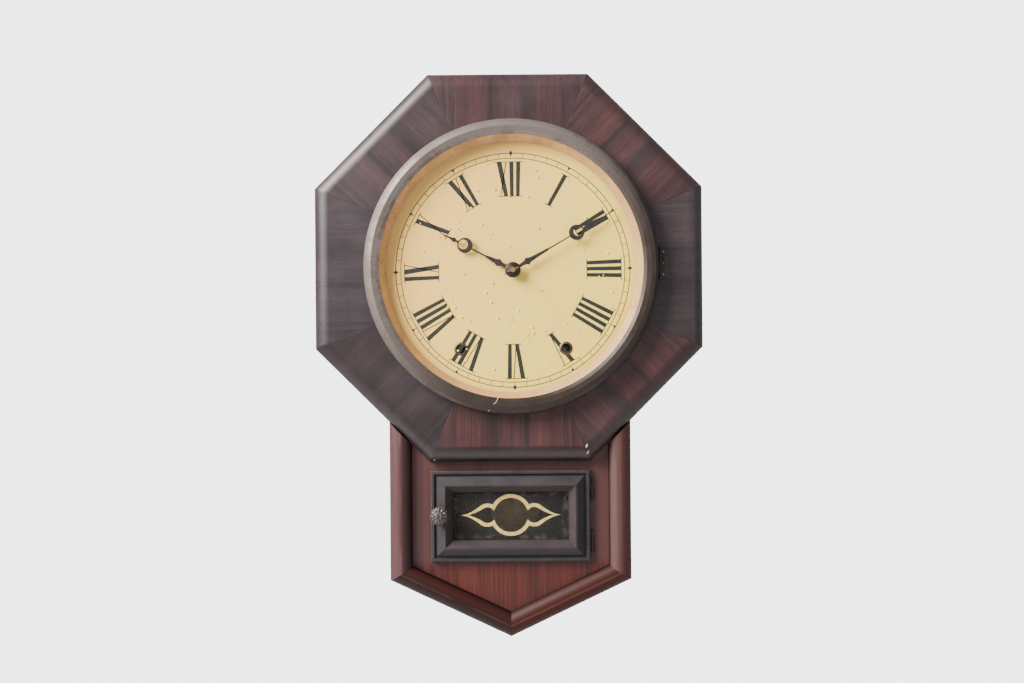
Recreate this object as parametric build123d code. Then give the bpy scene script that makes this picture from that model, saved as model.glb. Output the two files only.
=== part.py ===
from build123d import *
import os
from math import cos, degrees, atan2, hypot, radians, sin, sqrt, tan

# Octagonal wall clock with a pointed drop box, a striking movement and a pendulum.
# The origin is the centre of the hanging hole, on the wall. X is to the right, Z is up and the
# clock faces -Y. A depth is measured forward from the wall, so a point at depth d has y = -d.

# Octagon frame
OCTAGON_FLATS = 380.0
OCTAGON_Z = -150.0
OCTAGON_THICKNESS = 22.0
SHOULDER_WIDTH = 16.5
SHOULDER_HEIGHT = 14.0
OCTAGON_HOLE_R = 118.0

# Box behind the octagon, with its pointed lower end
BOX_WIDTH = 237.0
BOX_TOP_Z = -10.0
BOX_BELOW_OCTAGON = 116.2
BOX_POINT = 56.0
BOX_DEPTH = 74.0
BACKBOARD_THICKNESS = 8.0
BOARD_THICKNESS = 10.0
PANEL_THICKNESS = 6.0
MOULDING_WIDTH = 22.0
MOULDING_LAND = 3.0
MOULDING_CREST = 16.0
MOULDING_STEP = 1.5

# Hanger on the back
HANGER_HOLE_R = 4.0
HANGER_HALF_WIDTH = 12.0
HANGER_LENGTH = 32.0
HANGER_THICKNESS = 2.0
HANGER_GAP = 0.2

# Bezel, hinged on the right
BEZEL_X = 2.6
BEZEL_OUTER_R = 142.4
BEZEL_WIDTH = 15.7
BEZEL_HEIGHT = 15.6
BEZEL_WALL = 1.3
BEZEL_STAND_OFF = 0.9
BEZEL_GLASS_THICKNESS = 2.0
GLASS_BELOW_CREST = 5.0
SIGHT_SLOPE = 5.4
SIGHT_WALL = 0.7
BEZEL_HINGE_Z = -147.4
BEZEL_HINGE_LENGTH = 31.0
BEZEL_KNUCKLE_R = 1.6
BEZEL_PIN_R = 0.8
LEAF_THICKNESS = 0.6

# Dial, its centre a little off the octagon's as the clock has settled
DIAL_X = 4.0
DIAL_Z = OCTAGON_Z - 3.2
DIAL_R = 129.0
DIAL_THICKNESS = 0.6
DIAL_CENTRE_HOLE_R = 6.0
WINDING_X = 51.0
WINDING_Z = -76.0
EYELET_FLANGE_R = 6.6
EYELET_BARREL_R = 5.4
EYELET_HOLE_R = 4.4
EYELET_FLANGE = 0.7

# Tablet door in the drop
DOOR_WIDTH = 156.0
DOOR_HEIGHT = 89.2
DOOR_BELOW_OCTAGON = 53.1
DOOR_FRAME_WIDTH = 21.2
DOOR_GAP = 0.3
DOOR_GLASS_THICKNESS = 1.8
DOOR_REBATE = 5.5
OPENING_LEFT = -74.0
OPENING_RIGHT = 62.0
OPENING_HALF_HEIGHT = 29.0
DOOR_HINGE_OFFSETS = (25.1, -25.9)
DOOR_HINGE_LENGTH = 20.5
DOOR_KNUCKLE_R = 1.7
DOOR_PIN_R = 0.9
KNOB_X = -69.3
KNOB_RISE = 1.7
KNOB_R = 9.1
SPINDLE_R = 2.0
TONGUE_LENGTH = 13.0
TONGUE_HALF_WIDTH = 2.5
TONGUE_THICKNESS = 2.0

# Movement, placed from the centre arbor
PLATE_THICKNESS = 1.6
BACK_PLATE_DEPTH = 27.0
FRONT_PLATE_DEPTH = 61.8
PILLAR_R = 3.0
ARBOR_R = 1.5
CENTRE_ARBOR_R = 2.5
WINDING_ARBOR_R = 2.4
RUNNING = 0.06
SEAT = 0.02

# Teeth: heights in modules, and widths as a share of the step from tooth to tooth
ROOT_DEPTH = 1.25
WHEEL_TIP = 0.7
LEAF_TIP = 0.6
LEAF_BASE_SHARE = 0.22
LEAF_TIP_SHARE = 0.1

# Hands
HOUR_HAND_GAP = 3.4
MINUTE_HAND_GAP = 2.2
HAND_THICKNESS = 0.8
HOUR_ANGLE = 297.6
MINUTE_ANGLE = 60.0
COLLET_R = 7.7
COLLET_HEIGHT = 3.0

# Pendulum, hanging behind the movement
SUSPENSION_Z = 62.4
PENDULUM_DEPTH = 17.0
PENDULUM_LENGTH = 306.8
ROD_R = 1.5
BOB_R = 25.0
BOB_THICKNESS = 9.0

# Depths that several pieces share
OCTAGON_FRONT = BOX_DEPTH + OCTAGON_THICKNESS
PANEL_FRONT = BOX_DEPTH + PANEL_THICKNESS
DIAL_FRONT = OCTAGON_FRONT + DIAL_THICKNESS
BEZEL_BASE = OCTAGON_FRONT + BEZEL_STAND_OFF
BEZEL_CREST = BEZEL_BASE + BEZEL_HEIGHT
DOOR_BACK = PANEL_FRONT + DOOR_GAP
BACK_PLATE_FRONT = BACK_PLATE_DEPTH + PLATE_THICKNESS
FRONT_PLATE_FRONT = FRONT_PLATE_DEPTH + PLATE_THICKNESS

BEZEL_LIP_R = BEZEL_OUTER_R - BEZEL_WIDTH
SIGHT_REAR_R = BEZEL_LIP_R - SIGHT_SLOPE
GLASS_DEPTH = BEZEL_CREST - GLASS_BELOW_CREST
HOUR_HAND_DEPTH = DIAL_FRONT + HOUR_HAND_GAP
MINUTE_HAND_DEPTH = HOUR_HAND_DEPTH + MINUTE_HAND_GAP

# Heights that hang from the octagon's lowest side
OCTAGON_LOW = OCTAGON_Z - OCTAGON_FLATS / 2
BOX_CORNER_Z = OCTAGON_LOW - BOX_BELOW_OCTAGON
BOX_TIP_Z = BOX_CORNER_Z - BOX_POINT
DOOR_Z = OCTAGON_LOW - DOOR_BELOW_OCTAGON
DOOR_HINGE_Z = tuple(DOOR_Z + offset for offset in DOOR_HINGE_OFFSETS)
KNOB_Z = DOOR_Z + KNOB_RISE

# Sides of the small turned pieces: shafts and their holes, and the larger turned heads
SHAFT_SIDES = 12
HEAD_SIDES = 24
BOB_SIDES = 40

TOWARDS_FRONT = (0, -1, 0)


# Shapes that several pieces use

def slab(outline, back, front):
    """Extrude a front-view outline from one depth to another."""
    return extrude(Plane.XZ.offset(back) * outline, front - back, dir=TOWARDS_FRONT)


def polygon(*points):
    return make_face(Polyline(*points, close=True))


def disc(radius, x=0.0, z=0.0):
    return Pos(x, z) * Circle(radius)


def box(x0, x1, z0, z1, back, front):
    outline = polygon((x0, z0), (x1, z0), (x1, z1), (x0, z1))
    return slab(outline, back, front)


def rod(radius, x, z, back, front):
    return slab(disc(radius, x, z), back, front)


def shaft(radius, x, z, back, front):
    """A slim turned rod, its sides inside the radius."""
    return slab(Pos(x, z) * RegularPolygon(radius, SHAFT_SIDES), back, front)


def shaft_hole(radius, x=0.0, z=0.0):
    """The outline of a hole for a shaft, its sides outside the radius."""
    return Pos(x, z) * RegularPolygon(radius / cos(radians(180 / SHAFT_SIDES)), SHAFT_SIDES)


def lathed(steps, x, z, sides):
    """A turned head in flats, through steps of radius and depth from back to front."""
    rings = []
    for radius, depth in steps:
        ring = [polar(radius, 360.0 * i / sides, (x, z)) for i in range(sides)]
        rings.append([Vector(px, -depth, pz) for px, pz in ring])
    faces = [Face(Wire.make_polygon(rings[0])), Face(Wire.make_polygon(rings[-1]))]
    for back, front in zip(rings, rings[1:]):
        for i in range(sides):
            j = (i + 1) % sides
            faces.append(Face(Wire.make_polygon([back[i], back[j], front[j], front[i]])))
    return Solid(Shell(faces))


def turned(profile, x, z):
    """Revolve a profile of radius and depth about the line through (x, z), front to back."""
    plane = Plane(origin=(x, 0, z), x_dir=(1, 0, 0), z_dir=(0, 0, -1))
    return revolve(plane * profile, Axis((x, 0, z), (0, 1, 0)))


def polar(radius, angle, centre=(0.0, 0.0)):
    """The point at a clock angle, clockwise from the top as seen from the front."""
    turn = radians(angle)
    return (centre[0] + radius * sin(turn), centre[1] + radius * cos(turn))


def clock_angle(start, end):
    return degrees(atan2(end[0] - start[0], end[1] - start[1]))


def mitred_bar(profile, outer, inner):
    """A bar along the outer edge, anticlockwise round its frame, its ends cut to the inner points.

    The profile is in distance inward from the outer edge and depth.
    """
    (x0, z0), (x1, z1) = outer
    length = hypot(x1 - x0, z1 - z0)
    along = Vector((x1 - x0) / length, 0, (z1 - z0) / length)
    inward = Vector(-along.Z, 0, along.X)
    section = Plane(origin=(x0, 0, z0), x_dir=inward, z_dir=along) * profile
    region = polygon(outer[0], outer[1], inner[1], inner[0])
    return extrude(section, length, dir=along) & slab(region, 0, 2 * BOX_DEPTH)


def toothed(teeth, module, facing, leaves=False, gap=False):
    """A wheel's front-view outline, with a tooth, or a gap, at the clock angle it faces.

    Wheel teeth come to a point; the leaves of a pinion are slim with flat tips.
    """
    pitch_r = module * teeth / 2
    root_r = pitch_r - ROOT_DEPTH * module
    tip_r = pitch_r + (LEAF_TIP if leaves else WHEEL_TIP) * module
    step = 360.0 / teeth
    first = facing + (step / 2 if gap else 0.0)
    points = []
    for i in range(teeth):
        middle = first + i * step
        if leaves:
            base, top = LEAF_BASE_SHARE * step, LEAF_TIP_SHARE * step
            points += [polar(root_r, middle - base), polar(tip_r, middle - top)]
            points += [polar(tip_r, middle + top), polar(root_r, middle + base)]
        else:
            points += [polar(root_r, middle - step / 2), polar(tip_r, middle)]
    return polygon(*points)


def placed(outline, centre):
    return Pos(centre[0], centre[1]) * outline


def meeting(a, reach_a, b, reach_b, side):
    """The point at two given distances from a and b, left (-1) or right (+1) of the way from a to b."""
    apart = hypot(b[0] - a[0], b[1] - a[1])
    along = (apart**2 + reach_a**2 - reach_b**2) / (2 * apart)
    off = side * sqrt(reach_a**2 - along**2)
    ux, uz = (b[0] - a[0]) / apart, (b[1] - a[1]) / apart
    return (a[0] + along * ux + off * uz, a[1] + along * uz - off * ux)


def spiral_strip(centre, inner, outer, turns, width, sides, start, way=1, tail=None):
    """A flat strip wound outward, as a front-view outline with so many sides to a turn.

    The way is 1 for a clockwise winding and -1 for the other; a tail runs on to a last point.
    """
    count = round(turns * sides)
    edges = []
    for edge in (-width / 2, width / 2):
        run = []
        for i in range(count + 1):
            radius = inner + (outer - inner) * i / count + edge
            run.append(polar(radius, start + way * 360.0 * i / sides, centre))
        if tail:
            run.append((tail[0], tail[1] - edge))
        edges.append(run)
    return polygon(*edges[0], *reversed(edges[1]))


# Case outline

HALF_BOX = BOX_WIDTH / 2
DROP_SLOPE = atan2(BOX_CORNER_Z - BOX_TIP_Z, HALF_BOX)
APOTHEM = OCTAGON_FLATS / 2
CORNER_R = APOTHEM / cos(radians(22.5))


def drop_line(inset, x):
    """Height of the drop's sloping edge, moved inward by the inset."""
    return BOX_TIP_Z + inset / cos(DROP_SLOPE) + abs(x) * tan(DROP_SLOPE)


def octagon_edge(x):
    """Height of the octagon's lower diagonal side."""
    return OCTAGON_Z - (APOTHEM * sqrt(2) - abs(x))


def backboard():
    outline = polygon(
        (-HALF_BOX, BOX_TOP_Z), (-HALF_BOX, BOX_CORNER_Z), (0, BOX_TIP_Z),
        (HALF_BOX, BOX_CORNER_Z), (HALF_BOX, BOX_TOP_Z),
    )
    board = slab(outline, 0, BACKBOARD_THICKNESS)
    half = HANGER_HALF_WIDTH + HANGER_GAP
    recess = box(-half, half, -HANGER_LENGTH - HANGER_GAP, BOX_TOP_Z + 1, -1, HANGER_THICKNESS)
    return board - recess


def case_side(side):
    outer, inner = side * HALF_BOX, side * (HALF_BOX - BOARD_THICKNESS)
    outline = polygon(
        (outer, BOX_TOP_Z), (outer, BOX_CORNER_Z),
        (inner, drop_line(BOARD_THICKNESS, inner)), (inner, BOX_TOP_Z),
    )
    return slab(outline, BACKBOARD_THICKNESS, BOX_DEPTH)


def case_top():
    half = HALF_BOX - BOARD_THICKNESS
    return box(-half, half, BOX_TOP_Z - BOARD_THICKNESS, BOX_TOP_Z, BACKBOARD_THICKNESS, BOX_DEPTH)


def case_floor(side):
    inner = side * (HALF_BOX - BOARD_THICKNESS)
    outline = polygon(
        (side * HALF_BOX, BOX_CORNER_Z), (0, BOX_TIP_Z),
        (0, drop_line(BOARD_THICKNESS, 0)), (inner, drop_line(BOARD_THICKNESS, inner)),
    )
    return slab(outline, BACKBOARD_THICKNESS, BOX_DEPTH)


def octagon_segment(number):
    """One mitred side of the frame, with its rounded shoulder and its arc of the dial hole."""
    land = OCTAGON_FRONT - SHOULDER_HEIGHT
    bend = (
        SHOULDER_WIDTH * (1 - cos(radians(45))),
        land + SHOULDER_HEIGHT * sin(radians(45)),
    )
    depth_in = 0.6 * APOTHEM
    edge = Polyline(
        (SHOULDER_WIDTH, OCTAGON_FRONT), (depth_in, OCTAGON_FRONT),
        (depth_in, BOX_DEPTH), (0, BOX_DEPTH), (0, land),
    )
    shoulder = ThreePointArc((0, land), bend, (SHOULDER_WIDTH, OCTAGON_FRONT))
    profile = make_face([*edge.edges(), *shoulder.edges()])
    start, end = 180.0 - 45.0 * number + 22.5, 180.0 - 45.0 * number - 22.5
    centre = (0, OCTAGON_Z)
    outer = (polar(CORNER_R, start, centre), polar(CORNER_R, end, centre))
    inner = (polar(0.5 * CORNER_R, start, centre), polar(0.5 * CORNER_R, end, centre))
    return mitred_bar(profile, outer, inner) - rod(OCTAGON_HOLE_R, DIAL_X, DIAL_Z, 0, 2 * BOX_DEPTH)


def front_panel():
    inner = HALF_BOX - MOULDING_WIDTH
    low = drop_line(MOULDING_WIDTH, inner)
    top = OCTAGON_Z - APOTHEM
    corner = APOTHEM * tan(radians(22.5))
    outline = polygon(
        (-inner, octagon_edge(inner)), (-inner, low), (0, drop_line(MOULDING_WIDTH, 0)),
        (inner, low), (inner, octagon_edge(inner)), (corner, top), (-corner, top),
    )
    opening = box(
        OPENING_LEFT, OPENING_RIGHT, DOOR_Z - OPENING_HALF_HEIGHT, DOOR_Z + OPENING_HALF_HEIGHT,
        BOX_DEPTH - 1, PANEL_FRONT + 1,
    )
    return slab(outline, BOX_DEPTH, PANEL_FRONT) - opening


def moulding_profile():
    """Half-round section, its inner edge a small step above the panel."""
    crest = BOX_DEPTH + MOULDING_CREST
    outer = (0, BOX_DEPTH + MOULDING_LAND)
    inner = (MOULDING_WIDTH, PANEL_FRONT + MOULDING_STEP)
    base = Polyline(inner, (MOULDING_WIDTH, BOX_DEPTH), (0, BOX_DEPTH), outer)
    top = ThreePointArc(outer, (0.5 * MOULDING_WIDTH, crest), inner)
    return make_face([*base.edges(), *top.edges()])


def drop_mouldings():
    inner = HALF_BOX - MOULDING_WIDTH
    corner_in = drop_line(MOULDING_WIDTH, inner)
    tip_in = drop_line(MOULDING_WIDTH, 0)
    corners = {
        "moulding_left": (
            ((-HALF_BOX, octagon_edge(HALF_BOX)), (-HALF_BOX, BOX_CORNER_Z)),
            ((-inner, octagon_edge(inner)), (-inner, corner_in)),
        ),
        "moulding_lower_left": (
            ((-HALF_BOX, BOX_CORNER_Z), (0, BOX_TIP_Z)),
            ((-inner, corner_in), (0, tip_in)),
        ),
        "moulding_lower_right": (
            ((0, BOX_TIP_Z), (HALF_BOX, BOX_CORNER_Z)),
            ((0, tip_in), (inner, corner_in)),
        ),
        "moulding_right": (
            ((HALF_BOX, BOX_CORNER_Z), (HALF_BOX, octagon_edge(HALF_BOX))),
            ((inner, corner_in), (inner, octagon_edge(inner))),
        ),
    }
    profile = moulding_profile()
    return {name: mitred_bar(profile, outer, inner) for name, (outer, inner) in corners.items()}


def hanger_plate():
    """Iron plate let into the backboard, rising above the box to the hanging hole."""
    half = HANGER_HALF_WIDTH
    strip = polygon((-half, -HANGER_LENGTH), (half, -HANGER_LENGTH), (half, 0), (-half, 0))
    outline = strip + Circle(half) - Circle(HANGER_HOLE_R)
    return slab(outline, 0, HANGER_THICKNESS)


# Bezel, glass and dial

def bezel_ring():
    """Hollow half-round brass ring with a rebate for the glass behind its lip."""
    radius = (BEZEL_OUTER_R - BEZEL_LIP_R) / 2
    middle = BEZEL_LIP_R + radius
    spring = BEZEL_CREST - radius
    glass_front = GLASS_DEPTH + BEZEL_GLASS_THICKNESS
    shell = BEZEL_OUTER_R - BEZEL_WALL
    seat = BEZEL_LIP_R + 2.2
    outside = [(BEZEL_OUTER_R, BEZEL_BASE)]
    for angle in (0, 30, 60, 90):
        turn = radians(angle)
        outside.append((middle + radius * cos(turn), spring + radius * sin(turn)))
    profile = polygon(
        *outside, (middle - 0.6 * radius, BEZEL_CREST - 0.13 * radius),
        (BEZEL_LIP_R, glass_front + 0.4), (BEZEL_LIP_R, glass_front), (seat, glass_front),
        (middle, glass_front - 1), (shell, spring), (shell, BEZEL_BASE),
    )
    return turned(profile, BEZEL_X, OCTAGON_Z)


def sight_ring():
    """Sloping brass wall between the glass and the dial, which also holds the glass."""
    front_r = BEZEL_LIP_R + 0.4
    rear = DIAL_FRONT + 0.6
    profile = polygon(
        (SIGHT_REAR_R, rear), (front_r, GLASS_DEPTH), (front_r + 2, GLASS_DEPTH),
        (SIGHT_REAR_R + SIGHT_WALL, rear),
    )
    return turned(profile, BEZEL_X, OCTAGON_Z)


def bezel_glass():
    front = GLASS_DEPTH + BEZEL_GLASS_THICKNESS
    return rod(BEZEL_LIP_R + 2.0, BEZEL_X, OCTAGON_Z, GLASS_DEPTH, front)


def upright(radius, x, depth, low, high):
    """A vertical cylinder."""
    return Pos(x, -depth, low) * extrude(Circle(radius), high - low)


BEZEL_HINGE_X = BEZEL_X + BEZEL_OUTER_R + BEZEL_KNUCKLE_R + 0.1
BEZEL_HINGE_DEPTH = OCTAGON_FRONT + BEZEL_KNUCKLE_R + 0.3
BEZEL_HINGE_LOW = BEZEL_HINGE_Z - BEZEL_HINGE_LENGTH / 2
BEZEL_HINGE_HIGH = BEZEL_HINGE_Z + BEZEL_HINGE_LENGTH / 2
BEZEL_KNUCKLE_LENGTH = BEZEL_HINGE_LENGTH / 3


def bezel_hinge_fixed():
    """Strip on the octagon with the two end knuckles and the pin."""
    x, depth = BEZEL_HINGE_X, BEZEL_HINGE_DEPTH
    low, high, third = BEZEL_HINGE_LOW, BEZEL_HINGE_HIGH, BEZEL_KNUCKLE_LENGTH
    leaf_front = OCTAGON_FRONT + LEAF_THICKNESS
    clear = BEZEL_KNUCKLE_R + 0.2
    leaf = box(x + clear, x + 4.6, low, high, OCTAGON_FRONT, leaf_front)
    for bottom, top in ((low, low + third), (high - third, high)):
        leaf += box(x, x + clear, bottom, top, OCTAGON_FRONT, leaf_front)
        leaf += upright(BEZEL_KNUCKLE_R, x, depth, bottom, top)
    return leaf + upright(BEZEL_PIN_R, x, depth, low, high)


def bezel_hinge_moving():
    """Leaf under the bezel ring with the middle knuckle, bored for the pin."""
    x, depth = BEZEL_HINGE_X, BEZEL_HINGE_DEPTH
    bottom = BEZEL_HINGE_LOW + BEZEL_KNUCKLE_LENGTH + 0.1
    top = BEZEL_HINGE_HIGH - BEZEL_KNUCKLE_LENGTH - 0.1
    leaf = box(x - 10, x, bottom, top, BEZEL_BASE - LEAF_THICKNESS, BEZEL_BASE)
    knuckle = leaf + upright(BEZEL_KNUCKLE_R, x, depth, bottom, top)
    return knuckle - upright(BEZEL_PIN_R + RUNNING, x, depth, bottom - 1, top + 1)


def dial_plate():
    outline = disc(DIAL_R) - disc(DIAL_CENTRE_HOLE_R)
    for side in (-1, 1):
        outline -= disc(EYELET_BARREL_R, side * WINDING_X, WINDING_Z)
    return slab(Pos(DIAL_X, DIAL_Z) * outline, OCTAGON_FRONT, DIAL_FRONT)


def winding_eyelets():
    """Brass eyelets that line the dial's two winding holes."""
    barrel = EYELET_BARREL_R - SEAT
    back, front = OCTAGON_FRONT - 1, DIAL_FRONT + EYELET_FLANGE
    z = DIAL_Z + WINDING_Z
    eyelets = []
    for side in (-1, 1):
        x = DIAL_X + side * WINDING_X
        flange = ((EYELET_FLANGE_R, DIAL_FRONT), (EYELET_BARREL_R, front))
        eyelet = lathed(flange, x, z, HEAD_SIDES) + lathed(((barrel, back), (barrel, DIAL_FRONT)), x, z, HEAD_SIDES)
        hole = Pos(x, z) * RegularPolygon(EYELET_HOLE_R, HEAD_SIDES)
        eyelets.append(eyelet - slab(hole, back - 1, front + 1))
    return Compound(eyelets)


# Tablet door

def door_profile():
    """Outer bead, quirk, slope up to the crest and slope down to the glass, with a glass rebate."""
    width, back = DOOR_FRAME_WIDTH, DOOR_BACK
    rebate = back + DOOR_GLASS_THICKNESS + 0.2
    return polygon(
        (0, back), (0, back + 5.2), (1.2, back + 6.2), (3.2, back + 6.2), (4.4, back + 4.6),
        (5.2, back + 4.6), (12.8, back + 10.8), (14.4, back + 11.2), (width, back + 4.4),
        (width, rebate), (width - DOOR_REBATE, rebate), (width - DOOR_REBATE, back),
    )


def door_frame():
    """Two stiles and two rails, mitred at the corners; the left stile is bored for the knob."""
    x, z = DOOR_WIDTH / 2, DOOR_HEIGHT / 2
    outer = [(-x, DOOR_Z - z), (x, DOOR_Z - z), (x, DOOR_Z + z), (-x, DOOR_Z + z)]
    u, v = x - DOOR_FRAME_WIDTH, z - DOOR_FRAME_WIDTH
    inner = [(-u, DOOR_Z - v), (u, DOOR_Z - v), (u, DOOR_Z + v), (-u, DOOR_Z + v)]
    names = ("door_rail_bottom", "door_stile_right", "door_rail_top", "door_stile_left")
    pieces = {}
    for i, name in enumerate(names):
        j = (i + 1) % 4
        pieces[name] = mitred_bar(door_profile(), (outer[i], outer[j]), (inner[i], inner[j]))
    bore = rod(SPINDLE_R + RUNNING, KNOB_X, KNOB_Z, BOX_DEPTH, 2 * BOX_DEPTH)
    pieces["door_stile_left"] -= bore
    return pieces


def door_glass():
    inset = DOOR_FRAME_WIDTH - DOOR_REBATE + 0.3
    x, z = DOOR_WIDTH / 2 - inset, DOOR_HEIGHT / 2 - inset
    back = DOOR_BACK + 0.2
    return box(-x, x, DOOR_Z - z, DOOR_Z + z, back, back + DOOR_GLASS_THICKNESS)


DOOR_HINGE_X = DOOR_WIDTH / 2 + DOOR_KNUCKLE_R + 0.2
DOOR_HINGE_DEPTH = PANEL_FRONT + DOOR_KNUCKLE_R + 0.3


def door_hinges():
    """Two small butt hinges, the lower knuckle of each on the panel and the upper on the door."""
    fixed, moving = [], []
    x, depth, half = DOOR_HINGE_X, DOOR_HINGE_DEPTH, DOOR_HINGE_LENGTH / 2
    stile = DOOR_WIDTH / 2
    for z in DOOR_HINGE_Z:
        leaf = box(x, x + 2.8, z - half, z, PANEL_FRONT, PANEL_FRONT + LEAF_THICKNESS)
        lower = leaf + upright(DOOR_KNUCKLE_R, x, depth, z - half, z)
        fixed.append(lower + upright(DOOR_PIN_R, x, depth, z - half, z + half))
        flap = box(stile, stile + 0.5, z + 0.1, z + half, DOOR_BACK + 0.2, DOOR_BACK + 4.6)
        upper = flap + upright(DOOR_KNUCKLE_R, x, depth, z + 0.1, z + half)
        moving.append(upper - upright(DOOR_PIN_R + RUNNING, x, depth, z - half, z + half + 1))
    return Compound(fixed), Compound(moving)


def door_knob():
    """Cast rosette on a spindle, with the tongue that turns behind the panel."""
    neck = DOOR_BACK + 11.0
    rim = neck + 2.4
    tongue_front = BOX_DEPTH - 0.5
    tongue_back = tongue_front - TONGUE_THICKNESS
    steps = (
        (4.0, neck), (3.4, rim), (KNOB_R, rim + 0.8), (0.92 * KNOB_R, rim + 3.2),
        (0.4 * KNOB_R, rim + 5.6), (0.1 * KNOB_R, rim + 6.4),
    )
    head = lathed(steps, KNOB_X, KNOB_Z, HEAD_SIDES)
    head += shaft(SPINDLE_R, KNOB_X, KNOB_Z, tongue_back, rim)
    tongue = box(
        KNOB_X - TONGUE_HALF_WIDTH, KNOB_X + TONGUE_HALF_WIDTH,
        KNOB_Z - TONGUE_LENGTH, KNOB_Z + 3, tongue_back, tongue_front,
    )
    return head + tongue


# Movement layout, in front view from the centre arbor, with clock angles

CENTRE = (0.0, 0.0)
CENTRE_PINION = (12, 34.0 / 18)
SECOND_WHEEL = (36, 34.0 / 18)
SECOND_PINION = (12, 39.0 / 24)
MAIN_WHEEL = (48, 39.0 / 24)
CENTRE_WHEEL = (54, 48.0 / 54)
THIRD_PINION = (6, 48.0 / 54)
THIRD_WHEEL = (72, 48.0 / 72)
ESCAPE_PINION = (6, 48.0 / 72)
ESCAPE_TEETH = 30
ESCAPE_R = 17.0
CANNON_PINION = (10, 0.9)
MOTION_WHEEL = (30, 0.9)
MOTION_PINION = (8, 0.9)
HOUR_WHEEL = (32, 0.9)
PIN_WHEEL = (40, 1.2)
FLY_PINION = (8, 1.2)


def reach(one, other):
    """Distance between the centres of two wheels in mesh."""
    return (one[0] * one[1] + other[0] * other[1]) / 2


TIME_MAIN = (WINDING_X, WINDING_Z)
STRIKE_MAIN = (-WINDING_X, WINDING_Z)
SECOND = meeting(CENTRE, reach(CENTRE_PINION, SECOND_WHEEL), TIME_MAIN, reach(SECOND_PINION, MAIN_WHEEL), 1)
ANCHOR = (0.0, SUSPENSION_Z)
ESCAPE = (0.0, SUSPENSION_Z - 24.0)
THIRD = meeting(CENTRE, reach(CENTRE_WHEEL, THIRD_PINION), ESCAPE, reach(THIRD_WHEEL, ESCAPE_PINION), 1)
MOTION = polar(reach(CANNON_PINION, MOTION_WHEEL), -45)
PIN = (-33.54, -30.49)
FLY = polar(reach(PIN_WHEEL, FLY_PINION), -8, PIN)
HAMMER = (-4.0, -84.0)
PILLARS = ((-32, 66), (32, 66), (-62, -24), (62, -24), (0, -98))
STRIKE_PINION = SECOND_PINION


def wheel(size, centre, toward, back, front):
    """A wheel with a tooth on the line to the centre that it meshes with."""
    return slab(placed(toothed(*size, clock_angle(centre, toward)), centre), back, front)


def pinion(size, centre, toward, back, front):
    """A pinion with a gap on the line to the centre that it meshes with."""
    outline = toothed(*size, clock_angle(centre, toward), leaves=True, gap=True)
    return slab(placed(outline, centre), back, front)


def arbor(centre, radius=ARBOR_R, back=BACK_PLATE_DEPTH - 0.6, front=FRONT_PLATE_FRONT + 0.6):
    return shaft(radius, centre[0], centre[1], back, front)


def plate_outline():
    return polygon(
        (-70, -104), (70, -104), (70, -18), (40, 10), (40, 74), (-40, 74), (-40, 10), (-70, -18),
    )


def back_plate():
    """Back plate with its riveted pillars and the cock that holds the suspension spring."""
    outline = plate_outline()
    for centre in (CENTRE, SECOND, THIRD, ESCAPE, ANCHOR, PIN, FLY, HAMMER):
        outline -= shaft_hole(ARBOR_R + RUNNING, *centre)
    for centre in (TIME_MAIN, STRIKE_MAIN):
        outline -= shaft_hole(WINDING_ARBOR_R + RUNNING, *centre)
    plate = slab(outline, BACK_PLATE_DEPTH, BACK_PLATE_FRONT)
    for x, z in PILLARS:
        plate += shaft(PILLAR_R, x, z, BACK_PLATE_FRONT, FRONT_PLATE_DEPTH)
    foot = box(-6, 6, SUSPENSION_Z + 5, SUSPENSION_Z + 11, PENDULUM_DEPTH - 3.5, BACK_PLATE_DEPTH)
    strip = box(
        -0.2, 0.2, SUSPENSION_Z + 0.2, SUSPENSION_Z + 5, PENDULUM_DEPTH - 2.5, PENDULUM_DEPTH + 2.5,
    )
    return plate + foot + strip


def front_plate():
    outline = plate_outline() - shaft_hole(CENTRE_ARBOR_R + RUNNING)
    for centre in (SECOND, THIRD, ESCAPE, ANCHOR, PIN, FLY, HAMMER, MOTION):
        outline -= shaft_hole(ARBOR_R + RUNNING, *centre)
    for centre in (TIME_MAIN, STRIKE_MAIN):
        outline -= shaft_hole(WINDING_ARBOR_R + RUNNING, *centre)
    return slab(outline, FRONT_PLATE_DEPTH, FRONT_PLATE_FRONT)


def movement_feet():
    """Four blocks between the backboard and the back plate."""
    feet = []
    for x, z in ((-34, 62), (34, 62), (-60, -94), (60, -94)):
        feet.append(box(x - 6, x + 6, z - 6, z + 6, BACKBOARD_THICKNESS, BACK_PLATE_DEPTH))
    return Compound(feet)


MAIN_BACK, MAIN_FRONT = 33.0, 35.0
RATCHET_BACK, RATCHET_FRONT = 35.2, 36.8
RATCHET_R = 11.0
RATCHET_TEETH = 16
SPRING_BACK, SPRING_FRONT = 37.6, 53.4
SPRING_INNER_R = 3.3
SPRING_OUTER_R = 28.5
SPRING_TURNS = 4.5
SPRING_STRIP = 0.8


def main_wheel(centre, toward):
    """Great wheel with the click that bears on the ratchet, standing just off its teeth."""
    disc_part = wheel(MAIN_WHEEL, centre, toward, MAIN_BACK, MAIN_FRONT)
    away = clock_angle(toward, centre)
    nose = polar(RATCHET_R + 0.5, away, centre)
    tail = polar(RATCHET_R + 8, away + 50, centre)
    heel = polar(RATCHET_R + 11, away + 42, centre)
    disc_part += slab(polygon(nose, polar(RATCHET_R + 3, away, centre), heel, tail), MAIN_FRONT, RATCHET_FRONT)
    bore = shaft_hole(WINDING_ARBOR_R + RUNNING, *centre)
    return disc_part - slab(bore, MAIN_BACK - 1, MAIN_FRONT + 1)


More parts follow.
